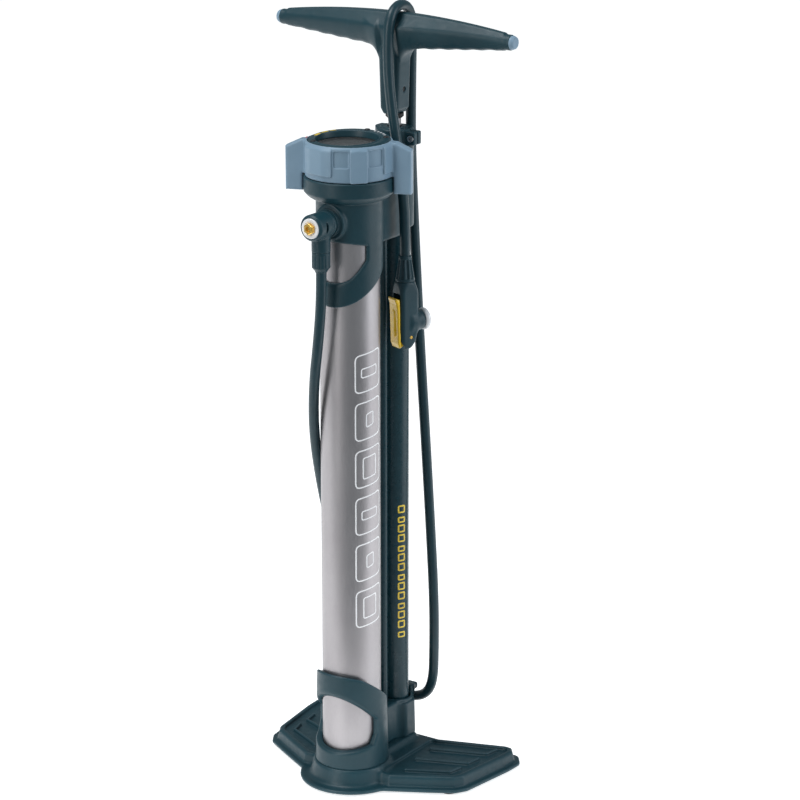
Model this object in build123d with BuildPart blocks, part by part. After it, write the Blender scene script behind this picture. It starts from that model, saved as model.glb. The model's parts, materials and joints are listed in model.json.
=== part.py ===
"""Floor pump: air tank beside the barrel, selector ring round a top gauge, hose with a lever head.

Millimetres. +Z is up, -Y is the front (tank side), +Y the back (barrel side).
The tank axis is the Z axis, and the feet stand on z = 0.
"""

import os
from math import atan2, cos, degrees, hypot, pi, radians, sin, tan

from build123d import *

os.makedirs("parts", exist_ok=True)

# ---- driving dimensions ----------------------------------------------------------------------
handle_top_z = 740.0
tank_r, tank_wall = 28.2, 1.6
tank_bottom_z, tank_top_z = 26.0, 556.0
barrel_y, barrel_r, barrel_bore_r = 74.5, 13.5, 11.9
barrel_bottom_z, barrel_top_z = 30.0, 612.0
pipe_y, pipe_r, pipe_bore_r = 54.6, 4.0, 2.6
pipe_bottom_z, pipe_top_z = 48.0, 560.0
rod_r = 6.0

foot_height = 3.0
flange_top_z, platform_z, plinth_z = 6.0, 16.5, 21.5
nose_r = 50.5
outline_corner_r = 8.0
shell = 3.0

collar_r = 34.0
strap_r = 31.0
sleeve_r = 18.0
boss_z, boss_r, boss_base_r = 561.0, 13.3, 16.2
boss_face_y = 36.5
can_r, can_floor_z, can_top_z = 42.0, 584.0, 599.4
flare_low_z, flare_high_z = 576.5, 585.0

ring_r, ring_bottom_z, ring_top_z = 42.5, 600.0, 633.0
wing_r, wing_bottom_z, wing_turn = 59.0, 584.3, 22.5

swivel_y, swivel_r, swivel_front_y = -45.3, 12.4, 61.9
hose_r = 4.9
hose_exit_z = 517.0
nipple_r, nipple_z, ferrule_r = 8.7, 536.4, 8.5

head_x, head_y, head_turn = 26.0, 53.2, 68.0
head_top_z, head_bottom_z = 491.5, 427.0
nut_top_z = 515.0
nozzle_z = 451.5
lever_pin_n, lever_pin_z = 1.2, 438.0

bar_half = 132.0
bar_mid_z = 723.0
stem_x, stem_y, stem_bottom_z = 21.0, 23.0, 645.0

running = 0.06
gap = 0.4

head_plane = Plane(
    origin=(head_x, head_y, 0),
    x_dir=(cos(radians(head_turn)), sin(radians(head_turn)), 0),
    z_dir=(0, 0, 1),
)
side_plane = Plane.YZ
barrel_axis = Plane(origin=(0, barrel_y, 0), z_dir=(0, 0, 1))


def finish(piece, name):
    """Label a finished piece and write its STEP file."""
    piece.part.label = name
    export_step(piece.part, f"parts/{name}.step")


def o_ring(centre, normal, ring_radius, section_radius):
    """A torus round normal, as one solid outside any builder."""
    torus = Torus(ring_radius, section_radius, mode=Mode.PRIVATE)
    return Plane(origin=centre, z_dir=normal) * torus


# ---- foot: base plate with two wings, feet, screws -------------------------------------------
half_outline = [
    (51.5, -16.0),
    (85.0, 2.5),
    (109.0, 16.5),
    (116.0, 28.0),
    (124.5, 88.0),
    (125.5, 108.0),
    (116.0, 121.0),
    (104.0, 121.5),
    (40.0, 99.0),
]
foot_spots = [(97, 24), (-97, 24), (111, 104), (-111, 104)]
foot_r = 9.0
nose_foot_y, nose_foot_length, nose_foot_width = -15.0, 52.0, 20.0
web_screw_spots = [(-9, 45), (9, 45)]
plug_screw_spot = (0, 18)
base_screw_spots = web_screw_spots + [plug_screw_spot]


def base_outline(inset):
    """The foot's plan outline as a face, moved inwards by inset."""
    points = half_outline + [(-x, y) for x, y in reversed(half_outline)]
    with BuildSketch() as outline:
        with BuildLine():
            Polyline(*points, close=True)
        make_face()
        fillet(outline.vertices().filter_by(lambda v: abs(v.X) > 100), outline_corner_r)
        Circle(nose_r)
        if inset:
            offset(amount=-inset, kind=Kind.INTERSECTION)
    return outline.sketch


def foot_faces(grow):
    """The plan faces of the rubber feet, grown all round by grow."""
    with BuildSketch() as faces:
        with Locations(*foot_spots):
            Circle(foot_r + grow)
        with Locations((0, nose_foot_y)):
            SlotOverall(nose_foot_length + 2 * grow, nose_foot_width + 2 * grow, rotation=90)
    return faces.sketch


with BuildPart() as base_plate:
    with BuildSketch(Plane.XY.offset(foot_height - 1.0)):
        add(base_outline(0))
    extrude(amount=flange_top_z - foot_height + 1.0)
    with BuildSketch(Plane.XY.offset(foot_height)):
        add(base_outline(6.0))
    extrude(amount=platform_z - foot_height, taper=6)
    rim = base_plate.edges().filter_by(GeomType.LINE).group_by(Axis.Z)[-1]
    fillet(rim, 1.5)
    with BuildSketch(Plane.XY.offset(platform_z - 4.0)):
        Circle(collar_r + 7.0)
        with Locations((0, barrel_y / 2)):
            Rectangle(56, barrel_y + 16)
    with BuildSketch(Plane.XY.offset(plinth_z)):
        Circle(collar_r + 1.0)
        with Locations((0, barrel_y / 2)):
            Rectangle(42, barrel_y + 6)
    loft()
    with BuildSketch(Plane.XY):
        add(base_outline(6.0 + shell))
        with Locations((0, 40)):
            Rectangle(58, 140, mode=Mode.SUBTRACT)
    extrude(amount=platform_z - shell, mode=Mode.SUBTRACT)
    for side in (1, -1):
        for start, corner, end in (
            ((54, 13), (92, 32), (95.5, 46)),
            ((48, 40), (96, 59), (98.5, 74)),
            ((47, 68), (99, 88), (101.5, 102)),
        ):
            for (x1, y1), (x2, y2) in ((start, corner), (corner, end)):
                turn = degrees(atan2(y2 - y1, side * (x2 - x1)))
                middle = (side * (x1 + x2) / 2, (y1 + y2) / 2)
                with BuildSketch(Plane.XY.offset(platform_z - 0.5)):
                    with Locations(Location(middle, turn)):
                        SlotCenterToCenter(hypot(x2 - x1, y2 - y1), 2.6)
                extrude(amount=1.7)
    with BuildSketch(Plane.XY):
        add(foot_faces(0.2))
    extrude(amount=foot_height + 0.4, mode=Mode.SUBTRACT)
    with Locations(*[(x, y, 0) for x, y in base_screw_spots]):
        Hole(2.3)
        Cylinder(4.6, 8.0, align=(Align.CENTER, Align.CENTER, Align.MIN), mode=Mode.SUBTRACT)
finish(base_plate, "base_plate")

with BuildPart() as base_feet:
    with BuildSketch(Plane.XY):
        add(foot_faces(0))
    extrude(amount=foot_height + 0.4)
    fillet(base_feet.edges().group_by(Axis.Z)[0], 0.8)
finish(base_feet, "base_feet")

with BuildPart() as base_screws:
    with BuildSketch(Plane.XY.offset(4.0)):
        with Locations(*base_screw_spots):
            Circle(4.0)
            RegularPolygon(2.0, 6, mode=Mode.SUBTRACT)
    extrude(amount=4.0)
    with BuildSketch(Plane.XY.offset(7.0)):
        with Locations(*base_screw_spots):
            Circle(1.9)
    extrude(amount=28.0)
finish(base_screws, "base_screws")

# ---- air tank --------------------------------------------------------------------------------
with BuildPart() as tank_tube:
    with BuildSketch(Plane.XY.offset(tank_bottom_z)):
        Circle(tank_r)
        Circle(tank_r - tank_wall, mode=Mode.SUBTRACT)
    extrude(amount=tank_top_z - tank_bottom_z)
finish(tank_tube, "tank_tube")

plug_r = tank_r - tank_wall - 0.1


def tank_plug(z_low, z_high, groove_z, screw_spot):
    """A plug inside the tank tube, with one groove for its seal, an air bore and maybe a screw hole."""
    with BuildPart() as plug:
        with BuildSketch(Plane.XY.offset(z_low)):
            Circle(plug_r)
            Circle(4.0, mode=Mode.SUBTRACT)
        extrude(amount=z_high - z_low)
        with BuildSketch(Plane.XY.offset(groove_z - 1.7)):
            Circle(plug_r + 1)
            Circle(plug_r - 2.8, mode=Mode.SUBTRACT)
        extrude(amount=3.4, mode=Mode.SUBTRACT)
        if screw_spot:
            with BuildSketch(Plane.XY.offset(z_low)):
                with Locations(screw_spot):
                    Circle(1.95)
            extrude(amount=12.0, mode=Mode.SUBTRACT)
    return plug


finish(tank_plug(tank_bottom_z, tank_bottom_z + 16, 36.0, plug_screw_spot), "tank_bottom_plug")
finish(tank_plug(tank_top_z - 16, tank_top_z, 546.0, None), "tank_top_plug")

with BuildPart() as tank_seals:
    for z in (36.0, 546.0):
        add(o_ring((0, 0, z), (0, 0, 1), plug_r - 1.45, 1.3))
finish(tank_seals, "tank_seals")

# ---- barrel, its foot block with the check valve, and the air pipe ---------------------------
with BuildPart() as barrel_tube:
    with BuildSketch(barrel_axis.offset(barrel_bottom_z)):
        Circle(barrel_r)
        Circle(barrel_bore_r, mode=Mode.SUBTRACT)
    extrude(amount=barrel_top_z - barrel_bottom_z)
finish(barrel_tube, "barrel_tube")

ball_r = 3.0
with BuildPart() as barrel_foot:
    with BuildSketch(barrel_axis.offset(barrel_bottom_z)):
        Circle(barrel_bore_r - 0.1)
    extrude(amount=12.0)
    with BuildSketch(barrel_axis.offset(barrel_bottom_z + 5.3)):
        Circle(barrel_bore_r + 1)
        Circle(barrel_bore_r - 2.2, mode=Mode.SUBTRACT)
    extrude(amount=2.8, mode=Mode.SUBTRACT)
    with BuildSketch(barrel_axis.offset(barrel_bottom_z)):
        Circle(ball_r + 0.5)
    extrude(amount=10.0, mode=Mode.SUBTRACT)
    with BuildSketch(barrel_axis.offset(barrel_bottom_z + 9.0)):
        Circle(1.6)
    extrude(amount=4.0, mode=Mode.SUBTRACT)
finish(barrel_foot, "barrel_foot")

ball_z = barrel_bottom_z + 10.0 - ball_r - 0.05
with BuildPart() as check_ball:
    with Locations((0, barrel_y, ball_z)):
        Sphere(ball_r)
finish(check_ball, "check_ball")

spring_low_z = barrel_bottom_z - 3.0
spring_high_z = ball_z - ball_r - 0.1
with BuildPart() as check_spring:
    with BuildLine() as spring_line:
        Helix(1.4, spring_high_z - spring_low_z - 0.6, 2.0, center=(0, barrel_y, spring_low_z + 0.3))
    with BuildSketch(Plane(origin=spring_line.line @ 0, z_dir=spring_line.line % 0)):
        Circle(0.25)
    sweep(path=spring_line.line, is_frenet=True)
finish(check_spring, "check_spring")

with BuildPart() as barrel_seals:
    add(o_ring((0, barrel_y, barrel_bottom_z + 6.7), (0, 0, 1), barrel_bore_r - 1.15, 1.0))
    add(o_ring((0, barrel_y, 600.0), (0, 0, 1), barrel_r + 1.1, 1.0))
finish(barrel_seals, "barrel_seals")

with BuildPart() as air_pipe:
    with BuildSketch(Plane(origin=(0, pipe_y, pipe_bottom_z))):
        Circle(pipe_r)
        Circle(pipe_bore_r, mode=Mode.SUBTRACT)
    extrude(amount=pipe_top_z - pipe_bottom_z)
finish(air_pipe, "air_pipe")

with BuildPart() as pipe_seals:
    for z in (pipe_bottom_z + 5.0, pipe_top_z - 5.0):
        add(o_ring((0, pipe_y, z), (0, 0, 1), pipe_r + 0.95, 0.85))
finish(pipe_seals, "pipe_seals")

# ---- lower housing: tank collar with its window, web and barrel socket with the hose hook ----
collar_side_cut = [(-60, 125.5), (-20, 113.0), (60, 54.5), (90, 54.5), (90, 160), (-60, 160)]
hook_x, hook_width, hook_thick = 3.0, 13.0, 6.0
hook_low_z, hook_high_z = 46.0, 66.0
lower_window = [(-60, 99), (-35, 99), (-5, 69.5), (-5, 54), (-10, 44), (-35, 37.5), (-60, 37.5)]

with BuildPart() as lower_housing:
    with BuildSketch(Plane.XY.offset(plinth_z)):
        Circle(collar_r)
    extrude(amount=104.0)
    with BuildSketch(side_plane):
        with BuildLine():
            Polyline(*collar_side_cut, close=True)
        make_face()
    extrude(amount=60, both=True, mode=Mode.SUBTRACT)
    with BuildSketch(Plane.XY.offset(plinth_z)):
        with Locations((0, 45)):
            Rectangle(26, 50)
    extrude(amount=39.0)
    with BuildSketch(barrel_axis.offset(plinth_z)):
        RegularPolygon(sleeve_r + 1.6, 8, rotation=22.5)
    with BuildSketch(barrel_axis.offset(57.0)):
        RegularPolygon(sleeve_r + 0.8, 8, rotation=22.5)
    loft()
    with BuildSketch(Plane.XY.offset(tank_bottom_z - 0.02)):
        Circle(tank_r + 0.02)
    extrude(amount=200, mode=Mode.SUBTRACT)
    with BuildSketch(side_plane):
        with BuildLine():
            Polyline(*lower_window, close=True)
        make_face()
        fillet(vertices().filter_by(lambda v: v.Y > -30 and v.X > -30), 3.0)
    extrude(amount=60, both=True, mode=Mode.SUBTRACT)
    with BuildSketch(barrel_axis.offset(barrel_bottom_z - 0.02)):
        Circle(barrel_r + 0.02)
    extrude(amount=200, mode=Mode.SUBTRACT)
    with BuildSketch(barrel_axis.offset(51.0)):
        Circle(barrel_r + 1.3)
    extrude(amount=10, mode=Mode.SUBTRACT)
    with BuildSketch(Plane(origin=(0, pipe_y, pipe_bottom_z - 0.02))):
        Circle(pipe_r + 0.02)
    extrude(amount=40, mode=Mode.SUBTRACT)
    with BuildSketch(Plane(origin=(0, pipe_y, pipe_bottom_z + 4.0))):
        Circle(pipe_r + 1.9)
    extrude(amount=2.0, mode=Mode.SUBTRACT)
    # air ways: spring pocket under the barrel, then along the web to the pipe and the tank
    with BuildSketch(barrel_axis.offset(barrel_bottom_z - 3.02)):
        Circle(3.2)
    extrude(amount=4.0, mode=Mode.SUBTRACT)
    with BuildSketch(Plane.XZ.offset(-barrel_y)):
        with Locations((0, 28.4)):
            Circle(1.3)
    extrude(amount=barrel_y - pipe_y, mode=Mode.SUBTRACT)
    with BuildSketch(Plane(origin=(0, pipe_y, 28.4))):
        Circle(1.3)
    extrude(amount=20, mode=Mode.SUBTRACT)
    with BuildSketch(Plane.XY.offset(plinth_z - 1)):
        with Locations(*base_screw_spots):
            Circle(1.95)
    extrude(amount=16, mode=Mode.SUBTRACT)
    # hook over the hose behind the barrel
    with BuildSketch(Plane.XY.offset(hook_low_z)):
        with Locations((hook_x, barrel_y + sleeve_r - 0.8)):
            Rectangle(hook_width, 4.6)
    extrude(amount=hook_high_z - hook_low_z)
    with BuildSketch(Plane.XY.offset(hook_high_z - hook_thick)):
        with Locations((hook_x, barrel_y + sleeve_r + 6.0)):
            RectangleRounded(hook_width, 18, 3)
    extrude(amount=hook_thick)
finish(lower_housing, "lower_housing")

# ---- upper housing: tank collar with its window, valve chamber, bridge and barrel sleeve -----
strap_cut = [
    (-60, 477.5),
    (-34, 477.5),
    (-20, 486.5),
    (20, 516),
    (28.3, 523),
    (100, 523),
    (100, 400),
    (-60, 400),
]
upper_window = [
    (-60, 499.5),
    (-34, 499.5),
    (-24, 507.5),
    (-11.5, 525),
    (-11.5, 538.5),
    (-35, 543.5),
    (-60, 543.5),
]
pillar_r, pillar_bore_r = 7.0, 5.0
port_spots = [(18 * cos(radians(t)), 18 * sin(radians(t))) for t in (45, 135, 225, 315)]
rotor_top_z = 590.0

with BuildPart() as upper_housing:
    with BuildSketch(Plane.XY.offset(470)):
        Circle(strap_r)
    extrude(amount=can_floor_z - 470)
    with BuildSketch(side_plane):
        with BuildLine():
            Polyline(*strap_cut, close=True)
        make_face()
    extrude(amount=60, both=True, mode=Mode.SUBTRACT)
    with BuildSketch(Plane.XY.offset(flare_low_z)):
        Circle(strap_r)
    with BuildSketch(Plane.XY.offset(flare_high_z)):
        Circle(can_r)
    loft()
    with BuildSketch(Plane.XY.offset(flare_high_z - 0.1)):
        Circle(can_r)
    extrude(amount=can_top_z - flare_high_z + 0.1)
    with BuildSketch(Plane.XY.offset(530.5)):
        with Locations((0, 44)):
            Rectangle(30, 46)
    extrude(amount=50.0)
    with BuildSketch(barrel_axis.offset(537.5)):
        Circle(sleeve_r)
    extrude(amount=616.8 - 537.5)
    with BuildSketch(Plane.XZ.offset(tank_r - 0.2)):
        with Locations((0, boss_z)):
            Circle(boss_r)
    extrude(amount=boss_face_y - tank_r + 0.2)
    with BuildSketch(Plane.XZ.offset(tank_r)):
        with Locations((0, boss_z)):
            Circle(boss_base_r)
    with BuildSketch(Plane.XZ.offset(strap_r + 2.5)):
        with Locations((0, boss_z)):
            Circle(boss_r)
    loft()
    with BuildSketch(Plane.XY.offset(400)):
        Circle(tank_r + 0.02)
    extrude(amount=tank_top_z - 399.98, mode=Mode.SUBTRACT)
    with BuildSketch(side_plane):
        with BuildLine():
            Polyline(*upper_window, close=True)
        make_face()
        fillet(vertices().filter_by(lambda v: v.X > -20), 2.5)
    extrude(amount=60, both=True, mode=Mode.SUBTRACT)
    # valve chamber and gauge pillar
    with BuildSketch(Plane.XY.offset(can_floor_z)):
        Circle(can_r - 3.5)
        Circle(pillar_r, mode=Mode.SUBTRACT)
    extrude(amount=40, mode=Mode.SUBTRACT)
    with BuildSketch(Plane.XY.offset(can_floor_z)):
        Circle(pillar_r)
    extrude(amount=18.5)
    with BuildSketch(Plane.XY.offset(590.0)):
        Circle(pillar_bore_r + 0.02)
    extrude(amount=20, mode=Mode.SUBTRACT)
    with BuildSketch(Plane.XY.offset(565.0)):
        Circle(1.5)
    extrude(amount=30, mode=Mode.SUBTRACT)
    with BuildSketch(Plane.XY.offset(570.0)):
        with Locations(*port_spots):
            Circle(1.8)
    extrude(amount=20, mode=Mode.SUBTRACT)
    with BuildSketch(Plane.XY.offset(can_floor_z - 1.6)):
        with Locations(*port_spots):
            Circle(3.9)
    extrude(amount=3, mode=Mode.SUBTRACT)
    # barrel, pipe and boss bores
    with BuildSketch(barrel_axis.offset(520)):
        Circle(barrel_r + 0.02)
    extrude(amount=200, mode=Mode.SUBTRACT)
    with BuildSketch(barrel_axis.offset(598.5)):
        Circle(barrel_r + 2.15)
    extrude(amount=3.0, mode=Mode.SUBTRACT)
    with BuildSketch(Plane(origin=(0, pipe_y, 520))):
        Circle(pipe_r + 0.02)
    extrude(amount=pipe_top_z - 519.98, mode=Mode.SUBTRACT)
    with BuildSketch(Plane(origin=(0, pipe_y, pipe_top_z - 6.0))):
        Circle(pipe_r + 1.85)
    extrude(amount=2.0, mode=Mode.SUBTRACT)
    with BuildSketch(Plane(origin=(0, pipe_y, pipe_top_z - 0.1))):
        Circle(1.5)
    extrude(amount=8.0, mode=Mode.SUBTRACT)
    with BuildSketch(Plane.XZ.offset(16.0)):
        with Locations((0, boss_z)):
            Circle(4.02)
    extrude(amount=40, mode=Mode.SUBTRACT)
finish(upper_housing, "upper_housing")

with BuildPart() as port_seals:
    for x, y in port_spots:
        add(o_ring((x, y, can_floor_z - 0.78), (0, 0, 1), 2.9, 0.78))
finish(port_seals, "port_seals")

cap_top_z = 634.0
lug_x, lug_low_z, lug_high_z = 20.5, 617.2, 629.8
clamp_z = (lug_low_z + lug_high_z) / 2
with BuildPart() as barrel_cap:
    with BuildSketch(barrel_axis.offset(616.9)):
        Circle(sleeve_r - 0.5)
    extrude(amount=cap_top_z - 616.9)
    fillet(barrel_cap.edges().group_by(Axis.Z)[-1], 1.5)
    with BuildSketch(Plane.XY.offset(lug_low_z)):
        with Locations((lug_x, barrel_y)):
            RectangleRounded(11.0, 13.0, 2.0)
    extrude(amount=lug_high_z - lug_low_z)
    with BuildSketch(barrel_axis.offset(600)):
        Circle(9.0)
    extrude(amount=29.5, mode=Mode.SUBTRACT)
    with BuildSketch(barrel_axis.offset(600)):
        Circle(rod_r + 0.7)
    extrude(amount=50, mode=Mode.SUBTRACT)
    # clamp slit and pinch screw hole
    with BuildSketch(Plane.XY.offset(600)):
        with Locations((18, barrel_y)):
            Rectangle(20, 1.4)
    extrude(amount=50, mode=Mode.SUBTRACT)
    with BuildSketch(Plane.XZ.offset(-barrel_y - 10)):
        with Locations((lug_x + 1.5, clamp_z)):
            Circle(1.75)
    extrude(amount=20, mode=Mode.SUBTRACT)
    with BuildSketch(Plane.XZ.offset(-barrel_y + 4.0)):
        with Locations((lug_x + 1.5, clamp_z)):
            Circle(3.3)
    extrude(amount=10, mode=Mode.SUBTRACT)
finish(barrel_cap, "barrel_cap")

with BuildPart() as clamp_screw:
    with BuildSketch(Plane.XZ.offset(-barrel_y - 5.5)):
        with Locations((lug_x + 1.5, clamp_z)):
            Circle(1.7)
    extrude(amount=9.6)
    with BuildSketch(Plane.XZ.offset(-barrel_y + 4.05)):
        with Locations((lug_x + 1.5, clamp_z)):
            Circle(3.1)
            RegularPolygon(1.6, 6, mode=Mode.SUBTRACT)
    extrude(amount=3.2)
finish(clamp_screw, "clamp_screw")

with BuildPart() as rod_bush:
    with BuildSketch(barrel_axis.offset(602.0)):
        Circle(8.9)
    extrude(amount=27.4)
    with BuildSketch(barrel_axis.offset(602.0)):
        Circle(barrel_bore_r - 0.2)
    extrude(amount=9.0)
    with BuildSketch(barrel_axis.offset(600)):
        Circle(rod_r + running)
    extrude(amount=40, mode=Mode.SUBTRACT)
finish(rod_bush, "rod_bush")

# ---- gauge -----------------------------------------------------------------------------------
case_r, case_bottom_z, case_top_z = 34.8, 603.0, 630.0
case_wall = 1.8
dial_z = 621.0
with BuildPart() as gauge_case:
    with BuildSketch(Plane.XY.offset(case_bottom_z)):
        Circle(case_r)
    extrude(amount=case_top_z - case_bottom_z)
    with BuildSketch(Plane.XY.offset(case_bottom_z + 2.0)):
        Circle(case_r - case_wall)
    extrude(amount=40, mode=Mode.SUBTRACT)
    with BuildSketch(Plane.XY.offset(590.02)):
        Circle(pillar_bore_r)
    extrude(amount=case_bottom_z - 590.0)
    with BuildSketch(Plane.XY.offset(580)):
        Circle(1.5)
    extrude(amount=60, mode=Mode.SUBTRACT)
finish(gauge_case, "gauge_case")

with BuildPart() as movement_frame:
    for z, thick in ((606.0, 1.2), (615.0, 1.2)):
        with BuildSketch(Plane.XY.offset(z)):
            with Locations((-8, 0)):
                RectangleRounded(27, 13, 3)
            Circle(1.25, mode=Mode.SUBTRACT)
            with Locations((-16.6, 0)):
                Circle(1.25, mode=Mode.SUBTRACT)
        extrude(amount=thick)
    with BuildSketch(Plane.XY.offset(607.1)):
        with Locations((-19, 4.6), (-19, -4.6)):
            Circle(1.2)
    extrude(amount=8.0)
    with BuildSketch(Plane.XY.offset(605.0)):
        with Locations((-6, 0)):
            Rectangle(6, 8)
    extrude(amount=1.05)
finish(movement_frame, "movement_frame")

with BuildPart() as bourdon_tube:
    with BuildSketch(Plane(origin=(24, 0, 610), x_dir=(0, 0, 1), z_dir=(0, 1, 0))):
        SlotOverall(6.0, 2.0)
    revolve(axis=Axis.Z, revolution_arc=250)
    with BuildSketch(Plane.XY.offset(605.0)):
        with Locations((24, 0)):
            Rectangle(5, 6)
    extrude(amount=3.5)
finish(bourdon_tube, "bourdon_tube")

tooth_module = 0.6
pinion_teeth, sector_teeth_full = 10, 45
pinion_pitch_r = tooth_module * pinion_teeth / 2
sector_pitch_r = tooth_module * sector_teeth_full / 2
sector_x = -(pinion_pitch_r + sector_pitch_r + 0.1)


def tooth_points(pitch_r, angle):
    """Four corners of one slim straight-sided tooth at an angle in degrees."""
    root_r, tip_r = pitch_r - 0.62, pitch_r + 0.5
    root_half, tip_half = 0.42, 0.2
    corners = [(root_r, -root_half), (tip_r, -tip_half), (tip_r, tip_half), (root_r, root_half)]
    c, s = cos(radians(angle)), sin(radians(angle))
    return [(r * c - w * s, r * s + w * c) for r, w in corners]


spindle_r = 1.2
with BuildPart() as needle_pinion:
    with BuildSketch(Plane.XY.offset(609.0)):
        Circle(pinion_pitch_r - 0.55)
        for k in range(pinion_teeth):
            with BuildLine():
                Polyline(*tooth_points(pinion_pitch_r, 180 + 360 / pinion_teeth * k), close=True)
            make_face()
    extrude(amount=3.0)
    with BuildSketch(Plane.XY.offset(605.6)):
        Circle(spindle_r)
    extrude(amount=17.9)
finish(needle_pinion, "needle_pinion")

sector_step = 360 / sector_teeth_full
sector_phases = [sector_step * (k + 0.5) for k in range(-7, 1)]
with BuildPart() as sector_gear:
    sector_plane = Plane(origin=(sector_x, 0, 609.5), z_dir=(0, 0, 1))
    with BuildSketch(sector_plane):
        Circle(3.0)
        with BuildLine():
            start_angle, end_angle = sector_phases[0] - 5, sector_phases[-1] + 5
            inner_arc = CenterArc((0, 0), 9.0, start_angle, end_angle - start_angle)
            outer_arc = CenterArc((0, 0), sector_pitch_r - 0.55, start_angle, end_angle - start_angle)
            Line(inner_arc @ 0, outer_arc @ 0)
            Line(inner_arc @ 1, outer_arc @ 1)
        make_face()
        middle_angle = (start_angle + end_angle) / 2
        arm_middle = (5.5 * cos(radians(middle_angle)), 5.5 * sin(radians(middle_angle)))
        with Locations(Location(arm_middle, middle_angle)):
            Rectangle(9, 3.0)
        for angle in sector_phases:
            with BuildLine():
                Polyline(*tooth_points(sector_pitch_r, angle), close=True)
            make_face()
    extrude(amount=2.0)
    with BuildSketch(Plane(origin=(sector_x, 0, 605.8))):
        Circle(spindle_r)
    extrude(amount=10.4)
finish(sector_gear, "sector_gear")

with BuildPart() as gauge_dial:
    with BuildSketch(Plane.XY.offset(dial_z)):
        Circle(case_r - case_wall - 0.1)
        Circle(spindle_r + 0.8, mode=Mode.SUBTRACT)
    extrude(amount=0.8)
finish(gauge_dial, "gauge_dial")

needle_z = 623.0
needle_rest = 45.0
with BuildPart() as gauge_needle:
    with BuildSketch(Plane.XY.offset(needle_z).rotated((0, 0, needle_rest))):
        Circle(3.0)
        with BuildLine():
            Polyline((0, 1.5), (23.0, 0.35), (23.0, -0.35), (0, -1.5), close=True)
        make_face()
        with Locations((-4.5, 0)):
            Rectangle(7, 2.6)
        Circle(spindle_r, mode=Mode.SUBTRACT)
    extrude(amount=0.7)
    with BuildSketch(Plane.XY.offset(needle_z + 0.5)):
        Circle(2.0)
    extrude(amount=1.0)
finish(gauge_needle, "gauge_needle")

with BuildPart() as gauge_lens:
    with BuildSketch(Plane.XY.offset(626.5)):
        Circle(case_r - case_wall - 0.1)
    extrude(amount=2.5)
finish(gauge_lens, "gauge_lens")

bezel_r, bezel_hole_r = 38.2, 27.0
with BuildPart() as gauge_bezel:
    with BuildSketch(Plane.XZ):
        with BuildLine():
            Polyline(
                (bezel_hole_r, 629.05),
                (case_r - case_wall - 0.1, 629.05),
                (case_r - case_wall - 0.1, 630.05),
                (bezel_r, 630.05),
                (bezel_r, 632.0),
                (bezel_r - 2.0, 634.4),
                (bezel_hole_r + 2.5, 635.4),
                (bezel_hole_r, 633.4),
                close=True,
            )
        make_face()
    revolve(axis=Axis.Z)
finish(gauge_bezel, "gauge_bezel")

# ---- selector ring and valve rotor -----------------------------------------------------------
ring_bore_r = case_r + gap
panel_depth, panel_width, panel_height, panel_z = 1.0, 18.0, 15.0, 617.0
panel_angles = [wing_turn + side + 90.0 + step for side in (0, 180) for step in (-42.0, 0.0, 42.0)]
with BuildPart() as selector_ring:
    with BuildSketch(Plane.XZ):
        with BuildLine():
            Polyline(
                (ring_bore_r, 600.0),
                (ring_r, 600.0),
                (ring_r, 630.5),
                (ring_r - 2.2, ring_top_z),
                (bezel_r + gap, ring_top_z),
                (bezel_r + gap, 629.6),
                (ring_bore_r, 629.6),
                close=True,
            )
        make_face()
    revolve(axis=Axis.Z)
    # wings: a root above the can, and a blade that drops past it
    for side in (0, 180):
        wing_plane = Plane(
            origin=(0, 0, 0),
            x_dir=(cos(radians(wing_turn + side)), sin(radians(wing_turn + side)), 0),
            z_dir=(0, 0, 1),
        )
        with BuildSketch(Plane(origin=(0, 0, 0), x_dir=wing_plane.x_dir, z_dir=-wing_plane.y_dir)):
            with BuildLine():
                Polyline(
                    (39.5, 600.0),
                    (can_r + 0.8, 600.0),
                    (can_r + 0.8, wing_bottom_z),
                    (wing_r, wing_bottom_z),
                    (wing_r, 625.2),
                    (44.0, 631.6),
                    (39.5, 631.6),
                    close=True,
                )
            make_face()
            fillet(vertices().filter_by(lambda v: v.X > wing_r - 1), 2.0)
        extrude(amount=6.2, both=True)
    # shallow panels between the grip lugs
    for angle in panel_angles:
        outward = (cos(radians(angle)), sin(radians(angle)), 0)
        panel_plane = Plane(
            origin=((ring_r - panel_depth) * outward[0], (ring_r - panel_depth) * outward[1], panel_z),
            x_dir=(-outward[1], outward[0], 0),
            z_dir=outward,
        )
        with BuildSketch(panel_plane):
            RectangleRounded(panel_width, panel_height, 2.0)
        extrude(amount=3.0, mode=Mode.SUBTRACT)
    # inner flange and two drive lugs down into the rotor
    with BuildSketch(Plane.XY.offset(600.0)):
        Circle(ring_bore_r + 1)
        Circle(28.0, mode=Mode.SUBTRACT)
    extrude(amount=2.4)
    for side in (0, 180):
        with BuildSketch(Plane.XY.offset(586.0)):
            with PolarLocations(31.0, 1, start_angle=side + 90):
                Rectangle(5.0, 8.0)
        extrude(amount=14.2)
finish(selector_ring, "selector_ring")

with BuildPart() as selector_rotor:
    with BuildSketch(Plane.XY.offset(can_floor_z + 0.05)):
        Circle(can_r - 4.0)
        Circle(pillar_r + running, mode=Mode.SUBTRACT)
        with PolarLocations(31.0, 2, start_angle=90):
            Rectangle(5.4, 8.4, mode=Mode.SUBTRACT)
        with Locations(port_spots[0], port_spots[2]):
            Circle(1.8, mode=Mode.SUBTRACT)
    extrude(amount=rotor_top_z - can_floor_z - 0.05)
finish(selector_rotor, "selector_rotor")

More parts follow.
